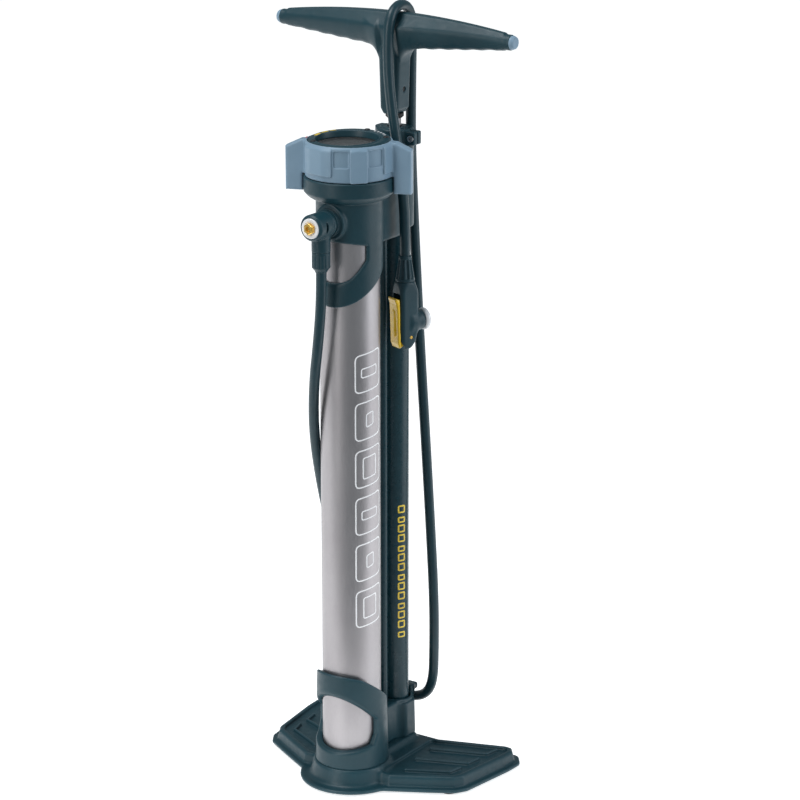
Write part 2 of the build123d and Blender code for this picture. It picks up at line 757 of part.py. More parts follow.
# ---- hose swivel on the front boss -----------------------------------------------------------
cap_seat_y = swivel_front_y - 1.6
cap_r, cap_thick, cap_floor = 9.5, 2.1, 1.2
bolt_seat_y, bolt_front_y = cap_seat_y + 1.3, 65.4
with BuildPart() as swivel_body:
    with BuildSketch(Plane.XZ.offset(boss_face_y + 0.9)):
        with Locations((0, boss_z)):
            Circle(swivel_r)
    extrude(amount=swivel_front_y - boss_face_y - 0.9)
    chamfer(swivel_body.edges().group_by(Axis.Y)[0], 2.2)
    with BuildSketch(Plane.XZ.offset(cap_seat_y)):
        with Locations((0, boss_z)):
            Circle(cap_r + 0.1)
    extrude(amount=5.0, mode=Mode.SUBTRACT)
    with BuildSketch(Plane(origin=(0, swivel_y, nipple_z))):
        Circle(nipple_r)
    extrude(amount=boss_z - 8.5 - nipple_z)
    with BuildSketch(Plane(origin=(0, swivel_y, nipple_z))):
        Circle(2.0)
    extrude(amount=boss_z - nipple_z, mode=Mode.SUBTRACT)
    with BuildSketch(Plane.XZ.offset(boss_face_y)):
        with Locations((0, boss_z)):
            Circle(5.2)
    extrude(amount=40, mode=Mode.SUBTRACT)
finish(swivel_body, "swivel_body")

with BuildPart() as swivel_ring:
    with BuildSketch(Plane.XZ.offset(cap_seat_y + 0.05)):
        with Locations((0, boss_z)):
            Circle(cap_r)
            Circle(6.3, mode=Mode.SUBTRACT)
    extrude(amount=cap_thick)
    with BuildSketch(Plane.XZ.offset(cap_seat_y + 0.05)):
        with Locations((0, boss_z)):
            Circle(6.4)
            Circle(4.05, mode=Mode.SUBTRACT)
    extrude(amount=cap_floor)
    front_circles = swivel_ring.edges().filter_by(GeomType.CIRCLE).group_by(Axis.Y)[0]
    chamfer(front_circles.sort_by(SortBy.RADIUS)[-1], 0.6)
finish(swivel_ring, "swivel_ring")

with BuildPart() as swivel_bolt:
    with BuildSketch(Plane.XZ.offset(17.0)):
        with Locations((0, boss_z)):
            Circle(4.0)
    extrude(amount=bolt_front_y - 18.0)
    with BuildSketch(Plane.XZ.offset(bolt_seat_y)):
        with Locations((0, boss_z)):
            RegularPolygon(5.5, 6, rotation=30)
    extrude(amount=bolt_front_y - bolt_seat_y)
    chamfer(swivel_bolt.edges().group_by(Axis.Y)[0], 0.6)
    with BuildSketch(Plane.XZ.offset(bolt_front_y - 2.2)):
        with Locations((0, boss_z)):
            RegularPolygon(2.9, 6)
    extrude(amount=5.0, mode=Mode.SUBTRACT)
    with BuildSketch(Plane.XZ.offset(16.0)):
        with Locations((0, boss_z)):
            Circle(1.5)
    extrude(amount=32.0, mode=Mode.SUBTRACT)
    with BuildSketch(Plane(origin=(0, swivel_y, boss_z - 6))):
        Circle(1.2)
    extrude(amount=12, mode=Mode.SUBTRACT)
finish(swivel_bolt, "swivel_bolt")

with BuildPart() as swivel_seals:
    add(o_ring((0, -boss_face_y - 0.45, boss_z), (0, 1, 0), 7.5, 0.43))
    add(o_ring((0, swivel_y + 4.5, boss_z), (0, 1, 0), 4.62, 0.56))
finish(swivel_seals, "swivel_seals")

with BuildPart() as hose_ferrule:
    with BuildSketch(Plane(origin=(0, swivel_y, hose_exit_z + 3.5))):
        Circle(ferrule_r)
    extrude(amount=nipple_z - 0.1 - hose_exit_z - 3.5)
    with BuildSketch(Plane(origin=(0, swivel_y, hose_exit_z))):
        Circle(5.4)
    with BuildSketch(Plane(origin=(0, swivel_y, hose_exit_z + 3.5))):
        Circle(ferrule_r)
    loft()
    with BuildSketch(Plane(origin=(0, swivel_y, hose_exit_z))):
        Circle(2.0)
    extrude(amount=30, mode=Mode.SUBTRACT)
finish(hose_ferrule, "hose_ferrule")

# ---- hose: one route from the swivel, down behind, under the hook, over the bar, to the head ---
# Points chosen along the hose's centre line; the corners are rounded between them.
hose_route = [
    (0.0, -45.3, 517.0),
    (0.0, -45.3, 491.0),
    (-6.0, -42.3, 450.0),
    (-17.5, -34.0, 405.0),
    (-29.0, -19.0, 352.0),
    (-36.0, 2.0, 295.0),
    (-38.5, 22.0, 240.0),
    (-39.0, 42.0, 193.0),
    (-38.5, 60.0, 148.0),
    (-37.5, 75.0, 108.0),
    (-34.5, 87.5, 72.5),
    (-25.0, 98.5, 54.0),
    (-4.5, 105.0, 46.5),
    (17.0, 103.5, 53.5),
    (29.0, 99.0, 72.5),
    (31.0, 97.5, 108.0),
    (30.8, 97.5, 156.0),
    (27.0, 97.8, 220.0),
    (20.5, 98.0, 315.0),
    (13.0, 98.0, 420.0),
    (7.0, 98.0, 520.0),
    (2.6, 97.6, 610.0),
    (3.2, 97.0, 668.0),
    (4.2, 96.6, 708.0),
    (4.8, 96.0, 730.5),
    (5.4, 88.2, 742.8),
    (6.3, 74.5, 747.2),
    (7.2, 60.8, 742.8),
    (7.8, 53.0, 730.5),
    (8.2, 51.2, 708.0),
    (9.8, 50.2, 682.0),
    (14.0, 49.4, 652.0),
    (20.5, 50.2, 614.0),
    (25.0, 52.4, 570.0),
    (26.0, 53.2, 542.0),
    (26.0, 53.2, 515.0),
]


def corner_radii(route):
    """For each inner point, 0.45 of the shorter run over the tangent of half the turn."""
    radii = []
    for before, here, after in zip(route, route[1:], route[2:]):
        run_in = Vector(*here) - Vector(*before)
        run_out = Vector(*after) - Vector(*here)
        half_turn = radians(run_in.get_angle(run_out)) / 2
        radii.append(0.45 * min(run_in.length, run_out.length) / tan(half_turn))
    return radii


def midpoint(a, b):
    """The point half way between two route points."""
    return tuple((p + q) / 2 for p, q in zip(a, b))


route_radii = corner_radii(hose_route)
print("hose radii", [round(r, 1) for r in route_radii])
hose_spans = {
    "hose_front_run": (0, 5),
    "hose_low_bend": (5, 15),
    "hose_back_run": (15, 23),
    "hose_over_bar": (23, 29),
    "hose_head_run": (29, 35),
}
hose_length = 0.0
for span_name, (first, last) in hose_spans.items():
    span_points = list(hose_route[first + 1 : last + 1])
    span_radii = route_radii[first:last]
    if first == 0:
        span_start = hose_route[0]
    else:
        span_start = midpoint(hose_route[first], hose_route[first + 1])
    if last == len(hose_route) - 1:
        span_end = span_points.pop()
        span_radii = route_radii[first : last - 1]
    else:
        span_end = midpoint(hose_route[last], hose_route[last + 1])
    with BuildPart() as hose_span:
        with BuildLine() as span_line:
            FilletPolyline(span_start, *span_points, span_end, radius=span_radii)
        with BuildSketch(Plane(origin=span_line.line @ 0, z_dir=span_line.line % 0)):
            Circle(hose_r)
        sweep(path=span_line.line)
    span_length = span_line.wires()[0].length
    hose_length += span_length
    print(span_name, round(span_length, 1), round(hose_span.part.volume / (pi * hose_r**2 * span_length), 4))
    finish(hose_span, span_name)
print("hose length", round(hose_length, 1))

# ---- pump head: nut, body, nozzle, gasket, plunger, lever -------------------------------------
body_n_low, body_n_high, body_half_p = -9.5, 9.5, 9.0
slot_half_p = 5.6
nozzle_axis = Plane(
    origin=head_plane.from_local_coords((0, 0, nozzle_z)),
    x_dir=head_plane.y_dir,
    z_dir=head_plane.x_dir,
)
pin_plane = Plane(
    origin=head_plane.from_local_coords((lever_pin_n, 0, lever_pin_z)),
    x_dir=head_plane.x_dir,
    z_dir=-head_plane.y_dir,
)
lever_side = Plane(
    origin=head_plane.from_local_coords((0, 0, 0)),
    x_dir=head_plane.x_dir,
    z_dir=-head_plane.y_dir,
)

with BuildPart() as head_nut:
    with BuildSketch(head_plane.offset(head_top_z + 0.1)):
        Circle(8.8)
    with BuildSketch(head_plane.offset(nut_top_z)):
        Circle(5.6)
    loft()
    with BuildSketch(head_plane.offset(head_top_z)):
        with PolarLocations(9.6, 12):
            Circle(1.5)
    extrude(amount=16.0, mode=Mode.SUBTRACT)
    with BuildSketch(head_plane.offset(head_top_z)):
        Circle(2.6)
    extrude(amount=30, mode=Mode.SUBTRACT)
finish(head_nut, "head_nut")

with BuildPart() as head_body:
    with BuildSketch(head_plane.offset(head_bottom_z)):
        with Locations(((body_n_low + body_n_high) / 2, 0)):
            RectangleRounded(body_n_high - body_n_low, 2 * body_half_p, 4.0)
    extrude(amount=head_top_z - 8 - head_bottom_z)
    with BuildSketch(head_plane.offset(head_top_z - 8.0)):
        with Locations(((body_n_low + body_n_high) / 2, 0)):
            RectangleRounded(body_n_high - body_n_low, 2 * body_half_p, 4.0)
    with BuildSketch(head_plane.offset(head_top_z)):
        Circle(8.8)
    loft()
    # rounded lower corner under the nozzle
    with BuildSketch(lever_side):
        with BuildLine():
            Polyline((2.0, 420), (12.0, 420), (12.0, 441), (9.5, 441), (6.5, 432), (2.0, 427), close=True)
        make_face()
    extrude(amount=20, both=True, mode=Mode.SUBTRACT)
    with BuildSketch(nozzle_axis.offset(body_n_high - 1.0)):
        Circle(9.2)
    extrude(amount=9.5)
    with BuildSketch(nozzle_axis.offset(1.0)):
        Circle(6.5)
    extrude(amount=20, mode=Mode.SUBTRACT)
    with BuildSketch(head_plane.offset(nozzle_z)):
        Circle(2.0)
    extrude(amount=60, mode=Mode.SUBTRACT)
    # corner cut where the lever's lower end swings in
    with BuildSketch(lever_side):
        with BuildLine():
            Polyline((-12, 438.5), (-9.0, 434.6), (-3.6, 426.0), (-3.6, 420), (-12, 420), close=True)
        make_face()
    extrude(amount=20, both=True, mode=Mode.SUBTRACT)
    # slot for the lever
    with BuildSketch(lever_side):
        with BuildLine():
            Polyline((-20, 420), (6.4, 420), (6.4, 443.6), (-4.2, 443.6), (-4.2, 480), (-20, 480), close=True)
        make_face()
    extrude(amount=slot_half_p, both=True, mode=Mode.SUBTRACT)
    with BuildSketch(pin_plane):
        Circle(1.5)
    extrude(amount=body_half_p + 1, both=True, mode=Mode.SUBTRACT)
    with BuildSketch(nozzle_axis.offset(-12)):
        Circle(2.1)
    extrude(amount=16, mode=Mode.SUBTRACT)
finish(head_body, "head_body")

with BuildPart() as lever_pin:
    with BuildSketch(pin_plane):
        Circle(1.48)
    extrude(amount=body_half_p + 0.1, both=True)
finish(lever_pin, "lever_pin")

with BuildPart() as head_lever:
    with BuildSketch(lever_side):
        with BuildLine():
            Polyline(
                (-13.6, 475.2),
                (-9.9, 474.6),
                (-9.9, 443.0),
                (-9.0, 442.6),
                (lever_pin_n, 442.6),
                (lever_pin_n + 4.4, 438.0),
                (lever_pin_n, 433.6),
                (-9.6, 428.4),
                (-12.0, 429.2),
                (-13.0, 434.0),
                (-12.6, 466.0),
                close=True,
            )
        make_face()
    extrude(amount=7.2, both=True)
    # only a narrow cam reaches into the body
    for side in (1, -1):
        with BuildSketch(lever_side.offset(side * 5.2)):
            with Locations((0, 440)):
                Rectangle(19.6, 40)
        extrude(amount=side * 4, mode=Mode.SUBTRACT)
    with BuildSketch(pin_plane):
        Circle(1.54)
    extrude(amount=20, both=True, mode=Mode.SUBTRACT)
finish(head_lever, "head_lever")

with BuildPart() as chuck_plunger:
    with BuildSketch(nozzle_axis.offset(4.0)):
        Circle(6.0)
        Circle(1.6, mode=Mode.SUBTRACT)
    extrude(amount=6.0)
finish(chuck_plunger, "chuck_plunger")

with BuildPart() as chuck_gasket:
    with BuildSketch(nozzle_axis.offset(11.2)):
        Circle(6.2)
        Circle(4.1, mode=Mode.SUBTRACT)
    extrude(amount=10.5)
finish(chuck_gasket, "chuck_gasket")

with BuildPart() as nozzle_collar:
    with BuildSketch(nozzle_axis.offset(body_n_high + 8.55)):
        Circle(10.6)
        Circle(4.1, mode=Mode.SUBTRACT)
    extrude(amount=6.0)
    with BuildSketch(nozzle_axis.offset(body_n_high + 5.0)):
        Circle(6.3)
    extrude(amount=7.2, mode=Mode.SUBTRACT)
    chamfer(nozzle_collar.edges().filter_by(GeomType.CIRCLE).sort_by(SortBy.RADIUS)[-2:], 1.0)
finish(nozzle_collar, "nozzle_collar")

# ---- handle, rod and piston ------------------------------------------------------------------
rod_bottom_z, rod_top_z = 50.0, 690.0
bolt_z = 668.0


def bar_section(x):
    """Half depth, top and bottom height of the handle bar at a distance x from the middle."""
    t = abs(x) / bar_half
    half_depth = 15.4 - 8.6 * t**0.8
    top = handle_top_z - 10.0 * t**2
    bottom = 706.0 + 10.0 * t**1.2
    return half_depth, top, bottom


with BuildPart() as handle_bar:
    for x in (-128.0, -88.0, -44.0, 0.0, 44.0, 88.0, 128.0):
        half_depth, top, bottom = bar_section(x)
        shoulder = (top - bottom) * 0.38
        with BuildSketch(Plane.YZ.offset(x)):
            with BuildLine():
                Polyline(
                    (barrel_y - half_depth * 0.32, top),
                    (barrel_y + half_depth * 0.32, top),
                    (barrel_y + half_depth, top - shoulder),
                    (barrel_y + half_depth, bottom + shoulder),
                    (barrel_y + half_depth * 0.55, bottom),
                    (barrel_y - half_depth * 0.55, bottom),
                    (barrel_y - half_depth, bottom + shoulder),
                    (barrel_y - half_depth, top - shoulder),
                    close=True,
                )
            make_face()
    loft(ruled=False)
    with BuildSketch(barrel_axis.offset(stem_bottom_z)):
        RectangleRounded(stem_x, stem_y, 4.0)
    extrude(amount=712.0 - stem_bottom_z)
    with BuildSketch(barrel_axis.offset(690.0)):
        RectangleRounded(stem_x, stem_y, 4.0)
    with BuildSketch(barrel_axis.offset(712.0)):
        RectangleRounded(stem_x + 18, stem_y + 3, 4.0)
    loft()
    with BuildSketch(barrel_axis.offset(stem_bottom_z - 1)):
        Circle(rod_r + 0.02)
    extrude(amount=rod_top_z - stem_bottom_z + 1.02, mode=Mode.SUBTRACT)
    with BuildSketch(Plane.YZ.offset(-30)):
        with Locations((barrel_y, bolt_z)):
            Circle(2.55)
    extrude(amount=60, mode=Mode.SUBTRACT)
finish(handle_bar, "handle_bar")

with BuildPart() as handle_end_caps:
    for side in (1, -1):
        half_depth, top, bottom = bar_section(128.0)
        with BuildSketch(Plane.YZ.offset(side * 128.05)):
            with Locations((barrel_y, (top + bottom) / 2)):
                Ellipse(half_depth - 0.6, (top - bottom) / 2 - 0.6)
        with BuildSketch(Plane.YZ.offset(side * 132.0)):
            with Locations((barrel_y, (top + bottom) / 2)):
                Ellipse(half_depth - 2.4, (top - bottom) / 2 - 2.4)
        loft()
finish(handle_end_caps, "handle_end_caps")

with BuildPart() as piston_rod:
    with BuildSketch(barrel_axis.offset(66.0)):
        Circle(rod_r)
        Circle(rod_r - 1.5, mode=Mode.SUBTRACT)
    extrude(amount=rod_top_z - 66.0)
    with BuildSketch(barrel_axis.offset(62.0)):
        Circle(rod_r)
    extrude(amount=10.0)
    with BuildSketch(barrel_axis.offset(44.5)):
        Circle(3.0)
    extrude(amount=18.0)
    with BuildSketch(Plane.YZ.offset(-30)):
        with Locations((barrel_y, bolt_z)):
            Circle(2.55)
    extrude(amount=60, mode=Mode.SUBTRACT)
finish(piston_rod, "piston_rod")

with BuildPart() as handle_bolt:
    with BuildSketch(Plane.YZ.offset(-stem_x / 2 + 0.6)):
        with Locations((barrel_y, bolt_z)):
            Circle(2.5)
    extrude(amount=stem_x - 1.2)
finish(handle_bolt, "handle_bolt")

with BuildPart() as rod_bumper:
    with BuildSketch(barrel_axis.offset(640.6)):
        Circle(8.6)
        Circle(rod_r + 0.02, mode=Mode.SUBTRACT)
    extrude(amount=4.2)
    chamfer(rod_bumper.edges().group_by(Axis.Z)[0].sort_by(SortBy.RADIUS)[-1], 1.4)
finish(rod_bumper, "rod_bumper")

with BuildPart() as piston:
    with BuildSketch(barrel_axis.offset(50.0)):
        Circle(barrel_bore_r - 0.45)
        Circle(3.05, mode=Mode.SUBTRACT)
    extrude(amount=11.9)
    with BuildSketch(barrel_axis.offset(53.5)):
        Circle(barrel_bore_r + 1)
        Circle(barrel_bore_r - 2.6, mode=Mode.SUBTRACT)
    extrude(amount=3.6, mode=Mode.SUBTRACT)
finish(piston, "piston")

with BuildPart() as piston_seal:
    with BuildSketch(barrel_axis.offset(53.6)):
        Circle(barrel_bore_r - running)
        Circle(barrel_bore_r - 2.5, mode=Mode.SUBTRACT)
    extrude(amount=3.4)
finish(piston_seal, "piston_seal")

with BuildPart() as piston_nut:
    with BuildSketch(barrel_axis.offset(45.2)):
        RegularPolygon(5.5, 6)
        Circle(3.05, mode=Mode.SUBTRACT)
    extrude(amount=4.7)
finish(piston_nut, "piston_nut")
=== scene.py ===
"""Looks of the floor pump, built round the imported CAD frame.

Shapes are worked out in millimetres, like the CAD, and meshes are made in metres.
Moulded parts are distance fields, turned into meshes by surface nets, so that their edges are softly rounded.
"""

import json
from math import cos, pi, radians, sin

import bmesh
import bpy
import numpy as np
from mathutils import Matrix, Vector


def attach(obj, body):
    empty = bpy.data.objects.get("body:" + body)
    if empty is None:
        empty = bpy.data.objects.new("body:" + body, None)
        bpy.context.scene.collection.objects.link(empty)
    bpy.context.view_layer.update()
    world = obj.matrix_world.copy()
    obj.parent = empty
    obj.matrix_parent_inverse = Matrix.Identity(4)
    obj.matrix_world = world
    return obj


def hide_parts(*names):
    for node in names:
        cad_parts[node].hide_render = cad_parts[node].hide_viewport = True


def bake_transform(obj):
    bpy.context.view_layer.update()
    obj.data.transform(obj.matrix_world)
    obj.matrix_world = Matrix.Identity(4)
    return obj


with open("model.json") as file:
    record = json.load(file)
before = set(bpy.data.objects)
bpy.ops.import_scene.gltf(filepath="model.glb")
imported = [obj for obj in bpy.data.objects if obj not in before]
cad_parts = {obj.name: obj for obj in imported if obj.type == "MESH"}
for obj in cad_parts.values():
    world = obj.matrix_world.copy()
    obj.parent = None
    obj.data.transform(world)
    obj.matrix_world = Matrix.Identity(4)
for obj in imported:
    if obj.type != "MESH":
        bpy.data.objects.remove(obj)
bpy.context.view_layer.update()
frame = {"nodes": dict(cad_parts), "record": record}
nodes = frame["nodes"]
MM = 0.001
UP, FRONT = (0, 0, 1), (0, -1, 0)

# ---- driving dimensions, in millimetres, as in the CAD ----
TANK_R, TANK_LOW, TANK_HIGH = 28.2, 26.0, 556.0
BARREL_Y, BARREL_R, BARREL_LOW, BARREL_HIGH = 74.5, 13.5, 30.0, 612.0
PIPE_Y, PIPE_R, PIPE_LOW, PIPE_HIGH = 54.6, 4.0, 48.0, 560.0
TANK_BORE_R, BARREL_BORE_R, PIPE_BORE_R = 26.6, 11.9, 2.6
ROD_R, ROD_LOW, ROD_SHOULDER, ROD_HIGH = 6.0, 44.5, 62.0, 690.0
STRAP_R, SLEEVE_R = 31.0, 18.0
BOSS_Z, BOSS_R, SWIVEL_Y = 561.0, 13.3, -45.3
CAN_R, CAN_FLOOR, CAN_TOP = 42.0, 584.0, 599.4
RING_R, RING_LOW, RING_HIGH = 42.5, 600.0, 633.0
WING_TURN, WING_R, WING_LOW = 22.5, 59.0, 584.3
HOSE_R = 4.9
HEAD_X, HEAD_Y, HEAD_TURN = 26.0, 53.2, radians(68.0)
NOZZLE_Z, PIN_N, PIN_Z = 451.5, 1.2, 438.0
BAR_HALF, BAR_TOP = 132.0, 740.0


# ---- camera and lights ----
CAMERA_PLACE, CAMERA_TILT, CAMERA_HEADING = (1.5224, -2.1743, 1.1969), radians(72.96), radians(33.993)
FOCAL_LENGTH = 133.2
# The floor is laid out along the camera's heading, in metres from the pump.
FLOOR_SIDE, FLOOR_NEAR, FLOOR_FAR = 6, -0.3, 9
FLOOR_RIGHT, FLOOR_FORWARD = Vector((0.829, 0.559, 0)), Vector((-0.559, 0.829, 0))
WORLD_STRENGTH, FLOOR_GLOW = 0.32, 0.72
# Each softbox: name, place, target, size in metres, power in watts, tint.
SOFTBOXES = [
    ("key", (2.07, 0.75, 1.2), (0, 0, 0.4), (1.0, 2.2), 24, (0.90, 0.94, 1.0)),
    ("fill", (-0.45, -2.3, 1.1), (0, 0, 0.4), (0.7, 2.2), 22, (1.0, 0.985, 0.98)),
    ("top", (-0.6, -0.7, 2.7), (0, 0, 0.6), (1.6, 1.2), 34, (0.96, 0.98, 1.0)),
]


def add_object(name, data):
    """An object that shows data in the scene."""
    made = bpy.data.objects.new(name, data)
    bpy.context.scene.collection.objects.link(made)
    return made


def add_camera():
    """The camera of the reference view, without shift."""
    camera = bpy.data.cameras.new("camera")
    camera.lens = FOCAL_LENGTH
    camera.clip_end = 30
    holder = add_object("camera", camera)
    holder.location = CAMERA_PLACE
    holder.rotation_euler = (CAMERA_TILT, 0, CAMERA_HEADING)
    bpy.context.scene.camera = holder


def add_softbox(name, place, target, size, power, tint):
    """A rectangular area light at place, facing target."""
    light = bpy.data.lights.new(name, "AREA")
    light.shape = "RECTANGLE"
    light.size, light.size_y = size
    light.energy = power
    light.color = tint
    holder = add_object(name, light)
    holder.location = place
    holder.rotation_euler = (Vector(target) - Vector(place)).to_track_quat("-Z", "Y").to_euler()


def add_studio():
    """Soft white surroundings, three softboxes and a pale floor."""
    world = bpy.data.worlds.new("studio")
    bpy.context.scene.world = world
    world.use_nodes = True
    background = world.node_tree.nodes["Background"]
    background.inputs["Color"].default_value = (0.88, 0.96, 1.0, 1)
    background.inputs["Strength"].default_value = WORLD_STRENGTH
    for softbox in SOFTBOXES:
        add_softbox(*softbox)
    bpy.context.scene.view_settings.view_transform = "Standard"
    mesh = bpy.data.meshes.new("floor")
    near, far = FLOOR_FORWARD * FLOOR_NEAR, FLOOR_FORWARD * FLOOR_FAR
    side = FLOOR_RIGHT * FLOOR_SIDE
    mesh.from_pydata([near - side, near + side, far + side, far - side], [], [(0, 1, 2, 3)])
    floor = add_object("floor", mesh)
    pale = bpy.data.materials.new("floor_pale")
    pale.use_nodes = True
    shader = pale.node_tree.nodes["Principled BSDF"]
    shader.inputs["Base Color"].default_value = (0.93, 0.93, 0.93, 1)
    shader.inputs["Roughness"].default_value = 0.6
    shader.inputs["Emission Color"].default_value = (1, 1, 1, 1)
    shader.inputs["Emission Strength"].default_value = FLOOR_GLOW
    mesh.materials.append(pale)


# ---- materials ----
class Surface:
    """A Principled material and the few node steps that the pump's finishes share."""

    def __init__(self, name, roughness, metallic=0.0, coat=0.0, specular=0.5):
        self.material = bpy.data.materials.new(name)
        self.material.use_nodes = True
        self.tree = self.material.node_tree
        self.shader = self.tree.nodes["Principled BSDF"]
        self.shader.inputs["Roughness"].default_value = roughness
        self.shader.inputs["Metallic"].default_value = metallic
        self.shader.inputs["Coat Weight"].default_value = coat
        self.shader.inputs["Specular IOR Level"].default_value = specular
        self.place = self.node("ShaderNodeTexCoord").outputs["Object"]

    def node(self, kind, **settings):
        made = self.tree.nodes.new(kind)
        for key, value in settings.items():
            setattr(made, key, value)
        return made

    def link(self, out, into):
        self.tree.links.new(out, into)

    def noise(self, scale, detail=3.0, stretch=(1, 1, 1)):
        """Noise over the object's own coordinates, scale in features per metre."""
        mapping = self.node("ShaderNodeMapping")
        mapping.inputs["Scale"].default_value = stretch
        self.link(self.place, mapping.inputs["Vector"])
        made = self.node("ShaderNodeTexNoise")
        made.inputs["Scale"].default_value = scale
        made.inputs["Detail"].default_value = detail
        self.link(mapping.outputs["Vector"], made.inputs["Vector"])
        return made.outputs["Fac"]

    def spread(self, value, low, high, out_low=0.0, out_high=1.0):
        """value mapped from low..high to out_low..out_high, clamped."""
        made = self.node("ShaderNodeMapRange")
        for key, number in zip(("From Min", "From Max", "To Min", "To Max"), (low, high, out_low, out_high)):
            made.inputs[key].default_value = number
        self.link(value, made.inputs["Value"])
        return made.outputs["Result"]

    def mixed(self, factor, first, second):
        """A colour between two colours or colour sockets."""
        made = self.node("ShaderNodeMix", data_type="RGBA")
        for key, colour in ((6, first), (7, second)):
            if isinstance(colour, tuple):
                made.inputs[key].default_value = (*colour, 1)
            else:
                self.link(colour, made.inputs[key])
        self.link(factor, made.inputs[0])
        return made.outputs[2]

    def edges(self, low=0.515, high=0.60):
        """Where the surface is convex, such as a rubbed edge."""
        return self.spread(self.node("ShaderNodeNewGeometry").outputs["Pointiness"], low, high)

    def bump(self, height, strength, distance):
        made = self.node("ShaderNodeBump")
        made.inputs["Strength"].default_value = strength
        made.inputs["Distance"].default_value = distance
        self.link(height, made.inputs["Height"])
        self.link(made.outputs["Normal"], self.shader.inputs["Normal"])

    def colour(self, out):
        self.link(out, self.shader.inputs["Base Color"])

    def rough(self, out):
        self.link(out, self.shader.inputs["Roughness"])


def moulded_plastic(name, dark, light, worn, roughness, grain=2600.0, bump=0.22, scuffed=0.12):
    """Moulded plastic: cloudy tone, fine spark-eroded grain, rubbed edges and a few faint scuffs."""
    surface = Surface(name, roughness, specular=0.35)
    tone = surface.mixed(surface.spread(surface.noise(22, 4), 0.35, 0.65), dark, light)
    scuffs = surface.spread(surface.noise(90, 6, (1, 1, 0.25)), 0.64, 0.80, 0.0, scuffed)
    tone = surface.mixed(scuffs, tone, worn)
    surface.colour(surface.mixed(surface.spread(surface.edges(), 0, 1, 0, 0.55), tone, worn))
    surface.rough(surface.spread(surface.noise(160, 5), 0.3, 0.7, roughness - 0.07, roughness + 0.09))
    surface.bump(surface.noise(grain, 2), bump, 0.0002)
    return surface.material


def metal(name, base, shade, roughness, stretch=(1, 1, 1), grain=1800.0, bump=0.12, variation=0.06):
    """Bare or anodised metal with a fine grain, drawn along stretch."""
    surface = Surface(name, roughness, metallic=1.0)
    cloud = surface.spread(surface.noise(30, 5, stretch), 0.35, 0.65)
    surface.colour(surface.mixed(cloud, base, shade))
    drawn = surface.noise(grain / 3, 4, stretch)
    surface.rough(surface.spread(drawn, 0.3, 0.7, roughness - variation, roughness + variation))
    surface.bump(surface.noise(grain, 3, stretch), bump, 0.0001)
    return surface.material


def soft_rubber(name, dark, light, roughness, grain=1400.0, bump=0.3):
    """Rubber: dull, faintly dusty, fine grain."""
    surface = Surface(name, roughness, specular=0.4)
    tone = surface.mixed(surface.spread(surface.noise(60, 6), 0.4, 0.7), dark, light)
    surface.colour(tone)
    surface.rough(surface.spread(surface.noise(220, 4), 0.3, 0.7, roughness - 0.06, roughness + 0.08))
    surface.bump(surface.noise(grain, 3), bump, 0.0002)
    return surface.material


def glossy_plastic(name, base, shade, roughness, coat=0.3):
    """Glossy plastic with faint flow marks."""
    surface = Surface(name, roughness, coat=coat)
    surface.shader.inputs["Coat Roughness"].default_value = 0.15
    tone = surface.mixed(surface.spread(surface.noise(45, 4), 0.35, 0.65), base, shade)
    surface.colour(surface.mixed(surface.spread(surface.noise(500, 5), 0.66, 0.8, 0, 0.35), tone, shade))
    surface.rough(surface.spread(surface.noise(260, 5), 0.3, 0.7, roughness - 0.04, roughness + 0.08))
    surface.bump(surface.noise(900, 2), 0.08, 0.0002)
    return surface.material


def clear_lens(name):
    """A clear lens that lets the dial show."""
    surface = Surface(name, 0.04, specular=0.25)
    surface.shader.inputs["Base Color"].default_value = (0.9, 0.95, 0.97, 1)
    surface.shader.inputs["Alpha"].default_value = 0.06
    surface.rough(surface.spread(surface.noise(120, 5), 0.4, 0.8, 0.03, 0.12))
    return surface.material


